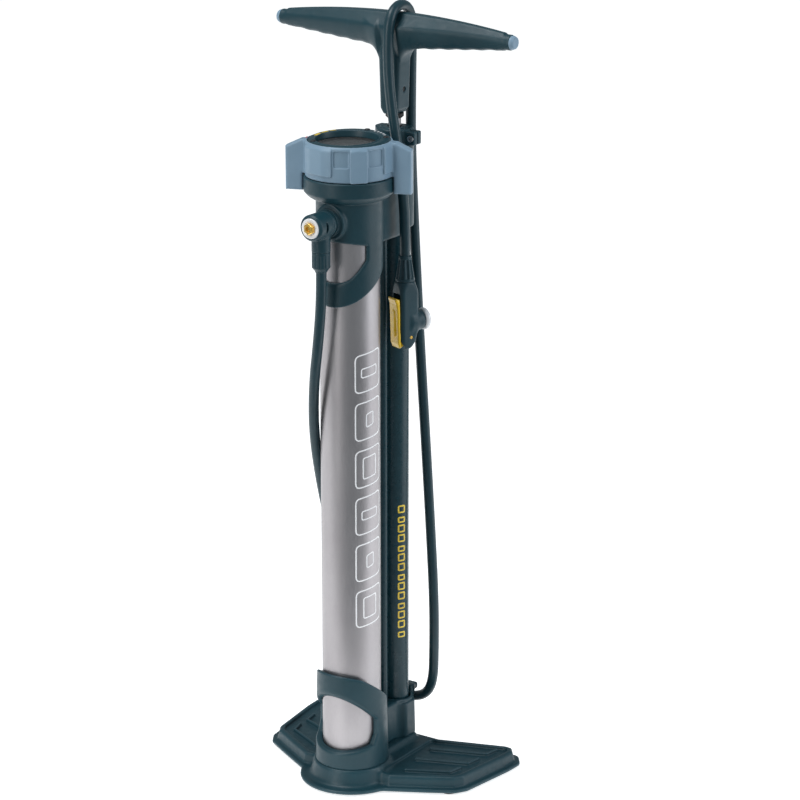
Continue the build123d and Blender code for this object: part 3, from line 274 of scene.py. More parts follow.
LOOKS = {
    "dark_plastic": moulded_plastic(
        "dark_teal_plastic", (0.008, 0.037, 0.050), (0.011, 0.046, 0.061), (0.05, 0.11, 0.14), 0.38
    ),
    "ring_plastic": moulded_plastic(
        "blue_grey_plastic", (0.185, 0.285, 0.375), (0.210, 0.315, 0.410), (0.34, 0.44, 0.54), 0.40
    ),
    "black_plastic": moulded_plastic(
        "black_plastic", (0.012, 0.014, 0.016), (0.02, 0.022, 0.025), (0.06, 0.065, 0.07), 0.45
    ),
    "barrel_metal": moulded_plastic(
        "painted_barrel", (0.007, 0.035, 0.047), (0.009, 0.040, 0.053), (0.05, 0.11, 0.14),
        0.30, 2600.0, 0.015, 0.0,
    ),
    "tank_metal": metal(
        "satin_tank", (0.37, 0.35, 0.36), (0.42, 0.40, 0.41), 0.40, (1, 1, 0.35), 2400.0, 0.15
    ),
    "steel": metal("plated_steel", (0.50, 0.51, 0.53), (0.60, 0.60, 0.61), 0.30),
    "black_metal": metal("blackened_steel", (0.025, 0.028, 0.03), (0.04, 0.043, 0.046), 0.40),
    "rod_chrome": metal(
        "polished_rod", (0.15, 0.155, 0.165), (0.19, 0.195, 0.205), 0.24, (1, 1, 0.1), 900.0, 0.05, 0.03
    ),
    "bare_aluminium": metal("turned_aluminium", (0.66, 0.66, 0.67), (0.74, 0.74, 0.75), 0.34),
    "brass": metal("gold_brass", (0.95, 0.58, 0.13), (1.0, 0.70, 0.22), 0.26),
    "rubber": soft_rubber("black_rubber", (0.014, 0.015, 0.016), (0.035, 0.036, 0.037), 0.62),
    "hose_rubber": soft_rubber(
        "hose_rubber", (0.007, 0.034, 0.046), (0.009, 0.040, 0.054), 0.34, 1700.0, 0.08
    ),
    "white_plastic": glossy_plastic("white_plastic", (0.92, 0.92, 0.92), (0.80, 0.81, 0.82), 0.25),
    "yellow_plastic": glossy_plastic("yellow_plastic", (0.90, 0.58, 0.018), (0.80, 0.47, 0.012), 0.28),
    "needle_red": glossy_plastic("needle_red", (0.70, 0.06, 0.03), (0.55, 0.04, 0.02), 0.35),
    "lens_clear": clear_lens("lens_clear"),
}
MARK_ORANGE = glossy_plastic("mark_orange", (0.85, 0.28, 0.03), (0.75, 0.22, 0.02), 0.4)
PRINT_WHITE = glossy_plastic("print_white", (0.96, 0.96, 0.96), (0.88, 0.88, 0.89), 0.4)
PRINT_YELLOW = glossy_plastic("print_yellow", (0.86, 0.62, 0.04), (0.74, 0.50, 0.03), 0.4)


# ---- meshes and pieces ----
def put(name, mesh, slot, replaced=(), body="pump_body", material=None):
    """Makes a piece of a mesh in metres, with its slot's look unless a material is given.

    It rides on body and hides the CAD nodes that it stands for.
    """
    piece = add_object(name, mesh)
    mesh.materials.clear()
    mesh.materials.append(material or LOOKS[slot])
    mesh.shade_smooth()
    if body:
        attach(piece, body)
    if replaced:
        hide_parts(*replaced)
    return piece


def mesh_of(name, points, faces):
    """A mesh from points in millimetres."""
    mesh = bpy.data.meshes.new(name)
    mesh.from_pydata([tuple(MM * c for c in p) for p in points], [], faces)
    mesh.validate()
    return mesh


def outward(mesh):
    """Turns the mesh's faces outward."""
    solid = bmesh.new()
    solid.from_mesh(mesh)
    bmesh.ops.recalc_face_normals(solid, faces=solid.faces)
    solid.to_mesh(mesh)
    solid.free()
    return mesh


def softened(points, radius, steps=4):
    """A closed outline with each corner rounded by an arc, smaller where its sides are short."""
    rounded = []
    count = len(points)
    for i, here in enumerate(points):
        before, after = Vector(points[i - 1]), Vector(points[(i + 1) % count])
        corner = Vector(here)
        one, two = before - corner, after - corner
        if corner.x < 1e-6 or one.length < 1e-6 or two.length < 1e-6:
            rounded.append(tuple(corner))
            continue
        trim = min(radius, 0.45 * one.length, 0.45 * two.length)
        start, end = corner + one.normalized() * trim, corner + two.normalized() * trim
        for k in range(steps + 1):
            t = k / steps
            rounded.append(tuple(start * (1 - t) ** 2 + corner * 2 * t * (1 - t) + end * t**2))
    return rounded


def turned_mesh(name, outline, place, direction=(0, 0, 1), radius=0.6, segments=112, wave=None):
    """A turned mesh: a closed outline of (radius, height) points, revolved. wave(angle, r, h) may scale r."""
    profile = softened(outline, radius)
    rings, points, faces = [], [], []
    turn = Vector(direction).to_track_quat("Z", "Y").to_matrix()
    for r, h in profile:
        if r < 1e-6:
            rings.append([len(points)] * segments)
            points.append(tuple(turn @ Vector((0, 0, h)) + Vector(place)))
            continue
        rings.append(list(range(len(points), len(points) + segments)))
        for k in range(segments):
            a = 2 * pi * k / segments
            rr = r * wave(a, r, h) if wave else r
            points.append(tuple(turn @ Vector((rr * cos(a), rr * sin(a), h)) + Vector(place)))
    for i in range(len(profile)):
        low, high = rings[i], rings[(i + 1) % len(profile)]
        if low[0] == low[1] and high[0] == high[1]:
            continue
        for k in range(segments):
            m = (k + 1) % segments
            corners = [low[k], low[m], high[m], high[k]]
            face = [c for j, c in enumerate(corners) if c != corners[j - 1]]
            faces.append(face)
    return outward(mesh_of(name, points, faces))


# ---- distance fields, in millimetres ----
def join(a, b, k=1.5):
    """Either of two shapes, with a fillet where they meet."""
    h = np.clip(0.5 + 0.5 * (b - a) / k, 0, 1)
    return b * (1 - h) + a * h - k * h * (1 - h)


def both(a, b, k=1.5):
    """What two shapes share, with its edge rounded."""
    return -join(-a, -b, k)


def cut(a, b, k=1.2):
    """a without b, with its edge rounded."""
    return both(a, -b, k)


def disc(u, v, r, cu=0.0, cv=0.0):
    return np.hypot(u - cu, v - cv) - r


def slab(value, low, high):
    return np.abs(value - (low + high) / 2) - (high - low) / 2


def plate(u, v, half_u, half_v, r=0.0):
    """A rectangle about the origin with corners of radius r."""
    du, dv = np.abs(u) - half_u + r, np.abs(v) - half_v + r
    return np.hypot(np.maximum(du, 0), np.maximum(dv, 0)) + np.minimum(np.maximum(du, dv), 0) - r


def stroke(u, v, points):
    """Distance to an open line of points."""
    nearest = np.full(np.shape(u), 1e9)
    for (ax, ay), (bx, by) in zip(points, points[1:]):
        ex, ey = bx - ax, by - ay
        t = np.clip(((u - ax) * ex + (v - ay) * ey) / (ex * ex + ey * ey), 0, 1)
        nearest = np.minimum(nearest, np.hypot(u - ax - t * ex, v - ay - t * ey))
    return nearest


def polygon(u, v, points):
    """Signed distance to a closed outline."""
    closed = points + points[:1]
    nearest = stroke(u, v, closed)
    inside = np.zeros(np.shape(u), bool)
    for (ax, ay), (bx, by) in zip(closed, closed[1:]):
        if ay != by:
            crosses = (ay > v) != (by > v)
            inside ^= crosses & (u < (v - ay) / (by - ay) * (bx - ax) + ax)
    return np.where(inside, -nearest, nearest)


def surface_net(name, shape, low, high, step):
    """A closed mesh of the surface where shape(x, y, z) is 0, inside a box in millimetres."""
    low, high = np.array(low, float) - 2 * step, np.array(high, float) + 2 * step
    axes = [np.arange(a, b + step, step) for a, b in zip(low, high)]
    x, y, z = np.meshgrid(*axes, indexing="ij")
    field = shape(x, y, z)
    inside = field < 0
    cells = tuple(n - 1 for n in field.shape)
    # Each cell's point is the mean of where its edges cross the surface.
    total = np.zeros((*cells, 3))
    count = np.zeros(cells)
    for axis in range(3):
        for i in (0, 1):
            for j in (0, 1):
                start = [slice(0, n) for n in cells]
                p, q = (a for a in range(3) if a != axis)
                start[p], start[q] = slice(i, i + cells[p]), slice(j, j + cells[q])
                end = list(start)
                end[axis] = slice(1, 1 + cells[axis])
                f0, f1 = field[tuple(start)], field[tuple(end)]
                crossed = (f0 < 0) != (f1 < 0)
                share = np.where(crossed, f0 / np.where(crossed, f0 - f1, 1), 0)
                offset = np.zeros((*cells, 3))
                offset[..., axis] = share
                offset[..., p], offset[..., q] = i, j
                total += offset * crossed[..., None]
                count += crossed
    active = count > 0
    index = np.full(cells, -1)
    index[active] = np.arange(active.sum())
    corner = np.argwhere(active)
    points = low + step * (corner + total[active] / count[active][:, None])
    # Three steps down the slope bring the points onto the surface.
    for _ in range(3):
        value = shape(*points.T)
        e = 0.05
        slope = np.stack(
            [(shape(*(points + d).T) - shape(*(points - d).T)) / (2 * e) for d in np.eye(3) * e], axis=1
        )
        move = -value[:, None] * slope / np.maximum((slope**2).sum(1), 0.05)[:, None]
        length = np.linalg.norm(move, axis=1, keepdims=True)
        points += move * np.minimum(1, 0.4 * step / np.maximum(length, 1e-9))
    # Each crossed grid edge gives one face between the four cells round it.
    quads = []
    for axis in range(3):
        p, q = (axis + 1) % 3, (axis + 2) % 3
        start = [slice(1, n) for n in cells]
        start[axis] = slice(0, cells[axis])
        end = list(start)
        end[axis] = slice(1, 1 + cells[axis])
        first, second = inside[tuple(start)], inside[tuple(end)]
        where = np.argwhere(first != second)
        flip = first[first != second]
        base = where.copy()
        base[:, [p, q]] += 1
        ring = []
        for i, j in ((-1, -1), (0, -1), (0, 0), (-1, 0)):
            cell = base.copy()
            cell[:, p] += i
            cell[:, q] += j
            ring.append(index[tuple(cell.T)])
        ring = np.stack(ring, axis=1)
        ring[~flip] = ring[~flip][:, ::-1]
        quads.append(ring)
    quads = np.concatenate(quads)
    mesh = bpy.data.meshes.new(name)
    mesh.vertices.add(len(points))
    mesh.vertices.foreach_set("co", (points * MM).ravel().astype(np.float32))
    mesh.loops.add(quads.size)
    mesh.loops.foreach_set("vertex_index", quads.ravel().astype(np.int32))
    mesh.polygons.add(len(quads))
    mesh.polygons.foreach_set("loop_start", np.arange(0, quads.size, 4, dtype=np.int32))
    mesh.update(calc_edges=True)
    mesh.validate()
    return mesh


# ---- hose ----
HOSE_ROUTE = [
    (0.0, -45.3, 517.0), (0.0, -45.3, 491.0), (-6.0, -42.3, 450.0),
    (-17.5, -34.0, 405.0), (-29.0, -19.0, 352.0), (-36.0, 2.0, 295.0),
    (-38.5, 22.0, 240.0), (-39.0, 42.0, 193.0), (-38.5, 60.0, 148.0),
    (-37.5, 75.0, 108.0), (-34.5, 87.5, 72.5), (-25.0, 98.5, 54.0),
    (-4.5, 105.0, 46.5), (17.0, 103.5, 53.5), (29.0, 99.0, 72.5),
    (31.0, 97.5, 108.0), (30.8, 97.5, 156.0), (27.0, 97.8, 220.0),
    (20.5, 98.0, 315.0), (13.0, 98.0, 420.0), (7.0, 98.0, 520.0),
    (2.6, 97.6, 610.0), (3.2, 97.0, 668.0), (4.2, 96.6, 708.0),
    (4.8, 96.0, 730.5), (5.4, 88.2, 742.8), (6.3, 74.5, 747.2),
    (7.2, 60.8, 742.8), (7.8, 53.0, 730.5), (8.2, 51.2, 708.0),
    (9.8, 50.2, 682.0), (14.0, 49.4, 652.0), (20.5, 50.2, 614.0),
    (25.0, 52.4, 570.0), (26.0, 53.2, 542.0), (26.0, 53.2, 515.0),
]


def add_hose():
    """The hose: a smooth spline through the route, and a tube that follows it."""
    curve = bpy.data.curves.new("hose_line", "CURVE")
    curve.dimensions = "3D"
    spline = curve.splines.new("NURBS")
    spline.points.add(len(HOSE_ROUTE) - 1)
    for point, place in zip(spline.points, HOSE_ROUTE):
        point.co = (*[MM * c for c in place], 1)
    spline.order_u = 3
    spline.use_endpoint_u = True
    curve.resolution_u = 14
    holder = add_object("hose_line", curve)
    bpy.context.view_layer.update()
    line = bpy.data.meshes.new_from_object(holder)
    path = [v.co.copy() for v in line.vertices]
    curve.bevel_depth = HOSE_R * MM
    curve.bevel_resolution = 7
    curve.use_fill_caps = True
    bpy.context.view_layer.update()
    tube = bpy.data.meshes.new_from_object(holder)
    bpy.data.objects.remove(holder)
    hose = put("hose", tube, "hose_rubber", body=None)
    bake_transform(hose)
    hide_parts("hose_front_run", "hose_low_bend", "hose_back_run", "hose_over_bar", "hose_head_run")
    return hose, path


add_camera()
add_studio()
hose, hose_path = add_hose()


def add_turned(name, outline, place, direction, slot, replaced=(), body="pump_body", **shape):
    """A turned piece; outline holds (radius, height along direction) from place."""
    return put(name, turned_mesh(name, outline, place, direction, **shape), slot, replaced, body)


def add_moulding(name, shape, low, high, step, slot, replaced=(), body="pump_body"):
    """A moulded piece, meshed from a distance field inside a box."""
    return put(name, surface_net(name, shape, low, high, step), slot, replaced, body)


def tube_outline(inner, outer, low, high, rows=9):
    """A tube's section, with extra rows up its outer wall."""
    wall = [(outer, low + (high - low) * k / rows) for k in range(rows + 1)]
    return [(inner, low), *wall, (inner, high)]


# ---- tubes and rod ----
BARREL_FOOT = (0, BARREL_Y, 0)
add_turned(
    "tank", tube_outline(TANK_BORE_R, TANK_R, TANK_LOW, TANK_HIGH), (0, 0, 0), UP,
    "tank_metal", ["tank_tube"], radius=0.3, segments=192,
)
add_turned(
    "barrel", tube_outline(BARREL_BORE_R, BARREL_R, BARREL_LOW, BARREL_HIGH), BARREL_FOOT, UP,
    "barrel_metal", ["barrel_tube"], radius=0.3, segments=128,
)
add_turned(
    "riser_pipe", tube_outline(PIPE_BORE_R, PIPE_R, PIPE_LOW, PIPE_HIGH), (0, PIPE_Y, 0), UP,
    "barrel_metal", ["air_pipe"], radius=0.3, segments=64,
)
ROD_STEP = (ROD_HIGH - ROD_SHOULDER) / 10
rod_wall = [(ROD_R, ROD_SHOULDER + ROD_STEP * k) for k in range(11)]
rod_outline = [(0, ROD_LOW), (3, ROD_LOW), (3, ROD_SHOULDER), *rod_wall, (0, ROD_HIGH)]
add_turned(
    "rod", rod_outline, BARREL_FOOT, UP,
    "rod_chrome", ["piston_rod"], body="handle", radius=0.3, segments=72,
)

# ---- foot ----
FOOT_HALF = [
    (51.5, -16.0), (85.0, 2.5), (109.0, 16.5), (116.0, 28.0), (124.5, 88.0),
    (125.5, 108.0), (116.0, 121.0), (104.0, 121.5), (40.0, 99.0),
]
FOOT_CORNER = 9.0


def inset(points, depth):
    """A closed counter-clockwise outline moved inwards."""
    moved = []
    for i, here in enumerate(points):
        one = (Vector(here) - Vector(points[i - 1])).normalized()
        two = (Vector(points[(i + 1) % len(points)]) - Vector(here)).normalized()
        inward = Vector((-one.y - two.y, one.x + two.x)) / (1 + one.dot(two))
        moved.append(tuple(Vector(here) + depth * inward))
    return moved


FOOT_CORE = inset(FOOT_HALF + [(-x, y) for x, y in reversed(FOOT_HALF)], FOOT_CORNER)
FLANGE_LOW, FLANGE_TOP, PLATFORM, PLINTH, NOSE_R = 2.0, 6.0, 16.5, 21.5, 50.5
FOOT_RIBS = [
    [(54, 13), (92, 32), (95.5, 46)],
    [(48, 40), (96, 59), (98.5, 74)],
    [(47, 68), (99, 88), (101.5, 102)],
]
PAD_SPOTS = [(97, 24), (111, 104)]
SCREW_SPOTS = [(9, 45), (0, 18)]


def foot_shape(x, y, z):
    """The foot: lip, sloping body, recessed treads with ribs, plinth, hollow underside and pad pockets."""
    side = np.abs(x)
    wings = polygon(x, y, FOOT_CORE) - FOOT_CORNER
    outline = join(wings, disc(x, y, NOSE_R), 6)
    lip = both(outline, slab(z, FLANGE_LOW, FLANGE_TOP - 0.2), 2.0)
    body = both((wings + 5.2 + (z - 3) * 0.16) * 0.98, slab(z, 0, PLATFORM), 3.6)
    tread = both(wings + 12.5, 36 - side, 5.0)
    body = cut(body, both(tread, 13.4 - z, 0.5), 1.4)
    for rib in FOOT_RIBS:
        ridge = both(stroke(side, y, rib) - 1.3, slab(z, 12.0, 16.4), 0.9)
        body = join(body, ridge, 0.8)
    nose = np.minimum(disc(x, y, 36.8), plate(x, y - 42, 20.5, 42, 4))
    plinth = both((nose - (PLINTH - z) * 0.25) * 0.96, slab(z, 0, PLINTH), 2.4)
    solid = join(join(lip, body, 2.5), plinth, 4.0)
    hollow = both(wings + 9.5, z - 10.0, 2.0)
    hollow = cut(hollow, plate(x, y - 30, 29, 78, 6), 2.0)
    for spot in PAD_SPOTS:
        hollow = cut(hollow, disc(side, y, 11.5, *spot), 1.5)
    solid = cut(solid, hollow, 1.5)
    pads = plate(x, y + 15, 10.2, 26.2, 10.2)
    for spot in PAD_SPOTS:
        pads = np.minimum(pads, disc(side, y, 9.2, *spot))
    solid = cut(solid, both(pads, z - 3.4, 0.3), 0.6)
    for spot in SCREW_SPOTS:
        counterbore = both(disc(side, y, 4.6, *spot), z - 8.0, 0.3)
        solid = cut(solid, join(counterbore, disc(side, y, 2.3, *spot), 0.3), 0.5)
    return solid


add_moulding(
    "foot", foot_shape, (-126, -52, 2), (126, 122, 22), 1.1,
    "dark_plastic", ["base_plate"],
)

# ---- lower housing ----
LOWER_TRIM = [(-60, 125.5), (-20, 113.0), (60, 54.5), (90, 54.5), (90, 160), (-60, 160)]
LOWER_WINDOW = [(-60, 99), (-35, 99), (-5, 69.5), (-5, 54), (-10, 44), (-35, 37.5), (-60, 37.5)]


def octagon(u, v, apothem):
    straight = np.maximum(np.abs(u), np.abs(v))
    slanted = (np.abs(u) + np.abs(v)) / 2**0.5
    return both(straight, slanted, 2.0) - apothem


def lower_housing_shape(x, y, z):
    """Collar with its window, web, barrel socket with a lip, and the hook over the hose."""
    r = np.hypot(x, y)
    back = y - BARREL_Y
    collar = both(r - 35.4 + (z - PLINTH) * 0.021, slab(z, PLINTH, 128), 1.2)
    collar = cut(collar, polygon(y, z, LOWER_TRIM), 2.0)
    web = both(plate(x, y - 45, 13, 25), slab(z, PLINTH, 60.5), 3.0)
    socket = both(octagon(x, back, 19.4 - (z - PLINTH) * 0.022), slab(z, PLINTH, 57), 1.4)
    lip = both(np.hypot(x, back) - 17.4, slab(z, 52, 60.5), 2.0)
    hook_back = both(plate(x - 3, back - 17.4, 6.5, 3.0, 1.5), slab(z, 46, 66), 1.5)
    hook_top = both(plate(x - 3, back - 21.5, 6.5, 6.5, 3.0), slab(z, 60.2, 66), 1.8)
    hook = join(hook_back, hook_top, 3.0)
    solid = join(collar, join(web, join(socket, lip, 1.5), 3.0), 4.0)
    solid = join(solid, hook, 2.0)
    solid = cut(solid, both(r - TANK_R - 0.1, TANK_LOW - z, 0.3), 0.8)
    solid = cut(solid, polygon(y, z, LOWER_WINDOW) + 0.4, 2.4)
    solid = cut(solid, both(np.hypot(x, back) - BARREL_R - 0.1, BARREL_LOW - z, 0.3), 1.0)
    solid = cut(solid, both(np.hypot(x, back) - BARREL_R - 1.3, 56.0 - z, 0.3), 0.8)
    return cut(solid, both(np.hypot(x, y - PIPE_Y) - PIPE_R - 0.1, PIPE_LOW - z, 0.3), 0.4)


add_moulding(
    "lower_collar", lower_housing_shape, (-36, -36, 21), (36, 109, 127), 0.9,
    "dark_plastic", ["lower_housing"],
)

# ---- upper housing ----
STRAP_TRIM = [
    (-60, 477.5), (-34, 477.5), (-20, 486.5), (20, 516), (28.3, 523), (100, 523), (100, 400), (-60, 400),
]
UPPER_WINDOW = [
    (-60, 499.5), (-34, 499.5), (-24, 507.5), (-11.5, 525), (-11.5, 538.5), (-35, 543.5), (-60, 543.5),
]


def upper_housing_shape(x, y, z):
    """Collar with its window and strap, can, bridge, barrel sleeve and the boss for the hose swivel."""
    r = np.hypot(x, y)
    back = np.hypot(x, y - BARREL_Y)
    collar = both(r - STRAP_R, slab(z, 470, 584.5), 1.0)
    collar = cut(collar, polygon(y, z, STRAP_TRIM), 2.0)
    rise = np.clip((z - 578.4) / 7.2, 0, 1) ** 0.5
    can = both((r - STRAP_R - (CAN_R - STRAP_R) * rise) * 0.65, slab(z, 578, CAN_TOP), 1.0)
    bridge = both(plate(x, y - 44, 15, 24, 3), slab(z, 530.5, 580.5), 4.0)
    sleeve = both(back - SLEEVE_R, slab(z, 537.5, 616.8), 1.5)
    across = np.hypot(x, z - BOSS_Z)
    flange = both(across - 16.3, slab(y, -32.3, -20), 0.8)
    boss = join(flange, both(across - BOSS_R + 0.9, slab(y, -36.5, -20), 0.6), 2.0)
    solid = join(join(collar, can, 1.5), join(bridge, sleeve, 4.0), 4.0)
    solid = join(solid, boss, 2.0)
    solid = cut(solid, both(r - TANK_R - 0.1, z - TANK_HIGH, 0.3), 0.8)
    chamber = cut(both(r - CAN_R + 3.5, CAN_FLOOR - z, 0.5), r - 7.0, 0.5)
    solid = cut(solid, chamber, 0.8)
    solid = cut(solid, both(r - 5.1, 590 - z, 0.2), 0.3)
    solid = cut(solid, polygon(y, z, UPPER_WINDOW) + 0.4, 2.4)
    solid = cut(solid, back - BARREL_R - 0.1, 1.0)
    bolt_way = both(np.hypot(x, z - BOSS_Z) - 4.1, y + 15, 0.3)
    pipe_way = both(np.hypot(x, y - PIPE_Y) - PIPE_R - 0.1, z - PIPE_HIGH, 0.3)
    return cut(cut(solid, bolt_way, 0.4), pipe_way, 0.4)


add_moulding(
    "upper_collar", upper_housing_shape, (-42, -42, 477), (42, 93, 617), 0.95,
    "dark_plastic", ["upper_housing"],
)

# ---- barrel cap ----
LUG_X, CLAMP_Z = 20.5, 623.5


def barrel_cap_shape(x, y, z):
    """The cap on the barrel: a rounded disc with a crown, a split clamp lug and a stop."""
    back = y - BARREL_Y
    r = np.hypot(x, back)
    cap = both(r - SLEEVE_R + 0.5, slab(z, 616.9, 631.5), 1.8)
    crown = both(r - 12.0, slab(z, 629, 632.5), 1.2)
    lug = both(plate(x - LUG_X, back, 5.5, 6.5, 2.0), slab(z, 617.2, 629.8), 1.5)
    stop = both(plate(x + 13.5, back + 2, 4.0, 6.0, 2.0), slab(z, 624, 632.8), 1.5)
    solid = join(join(join(cap, crown, 1.0), lug, 2.0), stop, 1.5)
    solid = cut(solid, plate(x - 18, back, 10, 0.7), 0.4)
    solid = cut(solid, r - 6.7, 1.0)
    solid = cut(solid, both(r - 9.0, z - 629.5, 0.2), 0.3)
    screw = np.hypot(x - LUG_X - 1.5, z - CLAMP_Z)
    solid = cut(solid, both(screw - 3.3, back + 4.0, 0.2), 0.5)
    return cut(solid, both(screw - 1.75, slab(back, -8, 10), 0.2), 0.3)


add_moulding(
    "barrel_top", barrel_cap_shape, (-19, 56, 616), (27, 93, 637), 0.5,
    "dark_plastic", ["barrel_cap"],
)

# ---- selector ring ----
WING_SIDE = [
    (38.0, 600.2), (42.45, 600.2), (42.45, WING_LOW), (WING_R, WING_LOW),
    (WING_R, 625.2), (44.5, 632.0), (38.0, 632.0),
]
BAND_R, PANEL_R, FLAT, RING_SEAT = 40.5, 39.2, 41.9, 602.4
# Grip lugs as (first angle, last angle, lowest height) and panels as (first, last), from the wing.
GRIP_LUGS = [(-27.5, -8.0, 605.4), (-76.0, -54.0, 590.0), (-148.5, -100.5, 605.4)]
GRIP_PANELS = [(-51.5, -29.5), (-98.0, -78.5)]


def from_middle(turn, first, last):
    """Angle from the middle of first..last degrees, in radians, and half that stretch along the ring."""
    off = (turn - (first + last) / 2 + 540) % 360 - 180
    return np.radians(off), radians((last - first) / 2) * RING_R


def ring_shape(x, y, z):
    """The selector ring: a band with raised lugs and recessed panels, and two finger wings."""
    r = np.hypot(x, y)
    turn = np.degrees(np.arctan2(y, x)) - WING_TURN
    ring = both(r - BAND_R, slab(z, RING_LOW, RING_HIGH), 0.8)
    for side in (0, 180):
        for first, last, low in GRIP_LUGS:
            off, half = from_middle(turn - side, first, last)
            face = plate(off * RING_R, z - (low + 640) / 2, half, (640 - low) / 2, 1.5)
            crown = both(r - RING_R, r * np.cos(off) - FLAT, 0.3)
            lug = both(both(face, crown, 0.8), PANEL_R - r, 0.5)
            ring = join(ring, both(lug, slab(z, RING_LOW, RING_HIGH), 0.8), 0.5)
        for first, last in GRIP_PANELS:
            off, half = from_middle(turn - side, first, last)
            face = plate(off * RING_R, z - 621.5, half, 7.5, 1.5)
            ring = cut(ring, both(face, PANEL_R - r, 0.3), 0.8)
    ring = both(ring, (r - 38.9 + (z - RING_HIGH) * 0.9) * 0.743, 0.6)
    for side in (0, pi):
        a = radians(WING_TURN) + side
        u, v = x * cos(a) + y * sin(a), -x * sin(a) + y * cos(a)
        wing = both(polygon(u, z, WING_SIDE), np.abs(v) - 6.4 + (u - 40) * 0.03, 2.6)
        ring = join(ring, wing, 1.8)
    ring = cut(ring, both(r - 38.6, 629.4 - z, 0.2), 0.5)
    flange = both(r - 36.2, slab(z, RING_LOW, RING_SEAT), 0.4)
    ring = join(ring, flange, 0.3)
    ring = cut(ring, both(r - 35.2, RING_SEAT - z, 0.2), 0.3)
    ring = cut(ring, both(r - 28.0, slab(z, 590, 640), 0.2), 0.3)
    drive = both(plate(x, np.abs(y) - 31, 4.0, 2.5, 0.8), slab(z, 586, 601), 0.5)
    return join(ring, drive, 0.4)


add_moulding(
    "ring", ring_shape, (-57, -43, 584), (57, 43, 633), 0.62,
    "ring_plastic", ["selector_ring"], body="selector",
)

# ---- gauge ----
def bezel_top(y):
    """Height of the bezel, which is thicker at the back."""
    return 634.1 + 0.034 * y


def bezel_shape(x, y, z):
    """The bezel: a low ring with its opening moved to the front, a raised lip round it and a slanted rim."""
    r = np.hypot(x, y)
    opening = np.hypot(x, y + 3.2)
    plane = z - bezel_top(y)
    solid = both(r - 38.2, both(plane, 630.05 - z, 0.2), 0.5)
    solid = both(solid, (plane + (r - 36.4) * 0.8) * 0.78, 0.8)
    lip = both(slab(opening, 28.0, 30.4), both(plane - 0.5, 629.2 - z, 0.2), 0.6)
    solid = join(solid, both(lip, r - 37.6, 0.3), 0.6)
    return cut(solid, opening - 28.6 - (z - 630) * 0.2, 0.5)


add_moulding(
    "bezel", bezel_shape, (-38.2, -38.2, 629), (38.2, 38.2, 636), 0.55,
    "dark_plastic", ["gauge_bezel"],
)
add_turned(
    "lens", [(0, 626.5), (32.9, 626.5), (32.9, 628.8), (27, 628.9), (18, 629.3), (9, 629.5), (0, 629.6)],
    (0, 0, 0), UP, "lens_clear", ["gauge_lens"], radius=0.3, segments=128,
)
add_turned(
    "dial", [(2.0, 621.0), (32.8, 621.0), (32.8, 621.8), (2.0, 621.8)],
    (0, 0, 0), UP, "black_plastic", ["gauge_dial"], radius=0.15, segments=128,
)


PRINT_RISE, PRINT_LIFT, PRINT_SINK = 0.12, 0.06, 0.12


def tie(faces, one, two):
    """Adds the four faces between two sections of four points each."""
    for j in range(4):
        n = (j + 1) % 4
        faces.append((one + j, one + n, two + n, two + j))


def arc_band(points, faces, z, inner, outer, first, last, height=PRINT_RISE):
    """Adds a closed flat band, from one angle to another in degrees, between two radii."""
    start = len(points)
    count = max(2, int(abs(last - first) / 3) + 1)
    for k in range(count + 1):
        a = radians(first + (last - first) * k / count)
        for r, lift in ((inner, 0), (outer, 0), (outer, height), (inner, height)):
            low = z(r * sin(a)) if callable(z) else z
            points.append((r * cos(a), r * sin(a), low + lift))
    for k in range(count):
        tie(faces, start + 4 * k, start + 4 * k + 4)
    faces.append((start, start + 3, start + 2, start + 1))
    end = start + 4 * count
    faces.append((end, end + 1, end + 2, end + 3))


def number_points(text, x, y, z, size, points, faces):
    """Adds a number as closed solid digits, centred at x, y."""
    curve = bpy.data.curves.new("digits", "FONT")
    curve.body = text
    curve.size = size
    curve.align_x = "CENTER"
    curve.align_y = "CENTER"
    curve.extrude = PRINT_RISE / 2
    curve.resolution_u = 3
    holder = add_object("digits", curve)
    bpy.context.view_layer.update()
    solid = bmesh.new()
    solid.from_mesh(bpy.data.meshes.new_from_object(holder))
    bpy.data.objects.remove(holder)
    bmesh.ops.remove_doubles(solid, verts=solid.verts, dist=1e-5)
    start = len(points)
    solid.verts.index_update()
    points.extend((v.co.x + x, v.co.y + y, v.co.z + z + PRINT_RISE / 2) for v in solid.verts)
    faces.extend(tuple(v.index + start for v in face.verts) for face in solid.faces)
    solid.free()


def add_print(name, build, slot, material=None, body="pump_body"):
    """A printed piece whose points and faces are added by build."""
    points, faces = [], []
    build(points, faces)
    piece = put(name, outward(mesh_of(name, points, faces)), slot, (), body, material)
    piece.data.shade_flat()


DIAL_FIRST, DIAL_LAST = 225.0, -45.0
DIAL_Z, NUMBER_R = 621.79, 16.6


def dial_scale(points, faces):
    """Ticks and numbers round the dial."""
    for k in range(51):
        a = DIAL_FIRST + (DIAL_LAST - DIAL_FIRST) * k / 50
        major = k % 5 == 0
        half = 0.75 if major else 0.4
        arc_band(points, faces, DIAL_Z, 20.4 if major else 22.4, 24.2, a - half, a + half)
        if k % 10 == 0:
            x, y = NUMBER_R * cos(radians(a)), NUMBER_R * sin(radians(a))
            number_points(str(k // 10 * 40), x, y, DIAL_Z, 4.6, points, faces)


def dial_warning(points, faces):
    arc_band(points, faces, DIAL_Z, 24.8, 26.6, 30, DIAL_LAST)


def dial_inner(points, faces):
    arc_band(points, faces, DIAL_Z, 9.4, 10.4, DIAL_FIRST, DIAL_LAST)


add_print("dial_scale", dial_scale, "white_plastic", PRINT_WHITE)
add_print("dial_warning", dial_warning, "needle_red", MARK_ORANGE)
add_print("dial_inner", dial_inner, "yellow_plastic", PRINT_YELLOW)


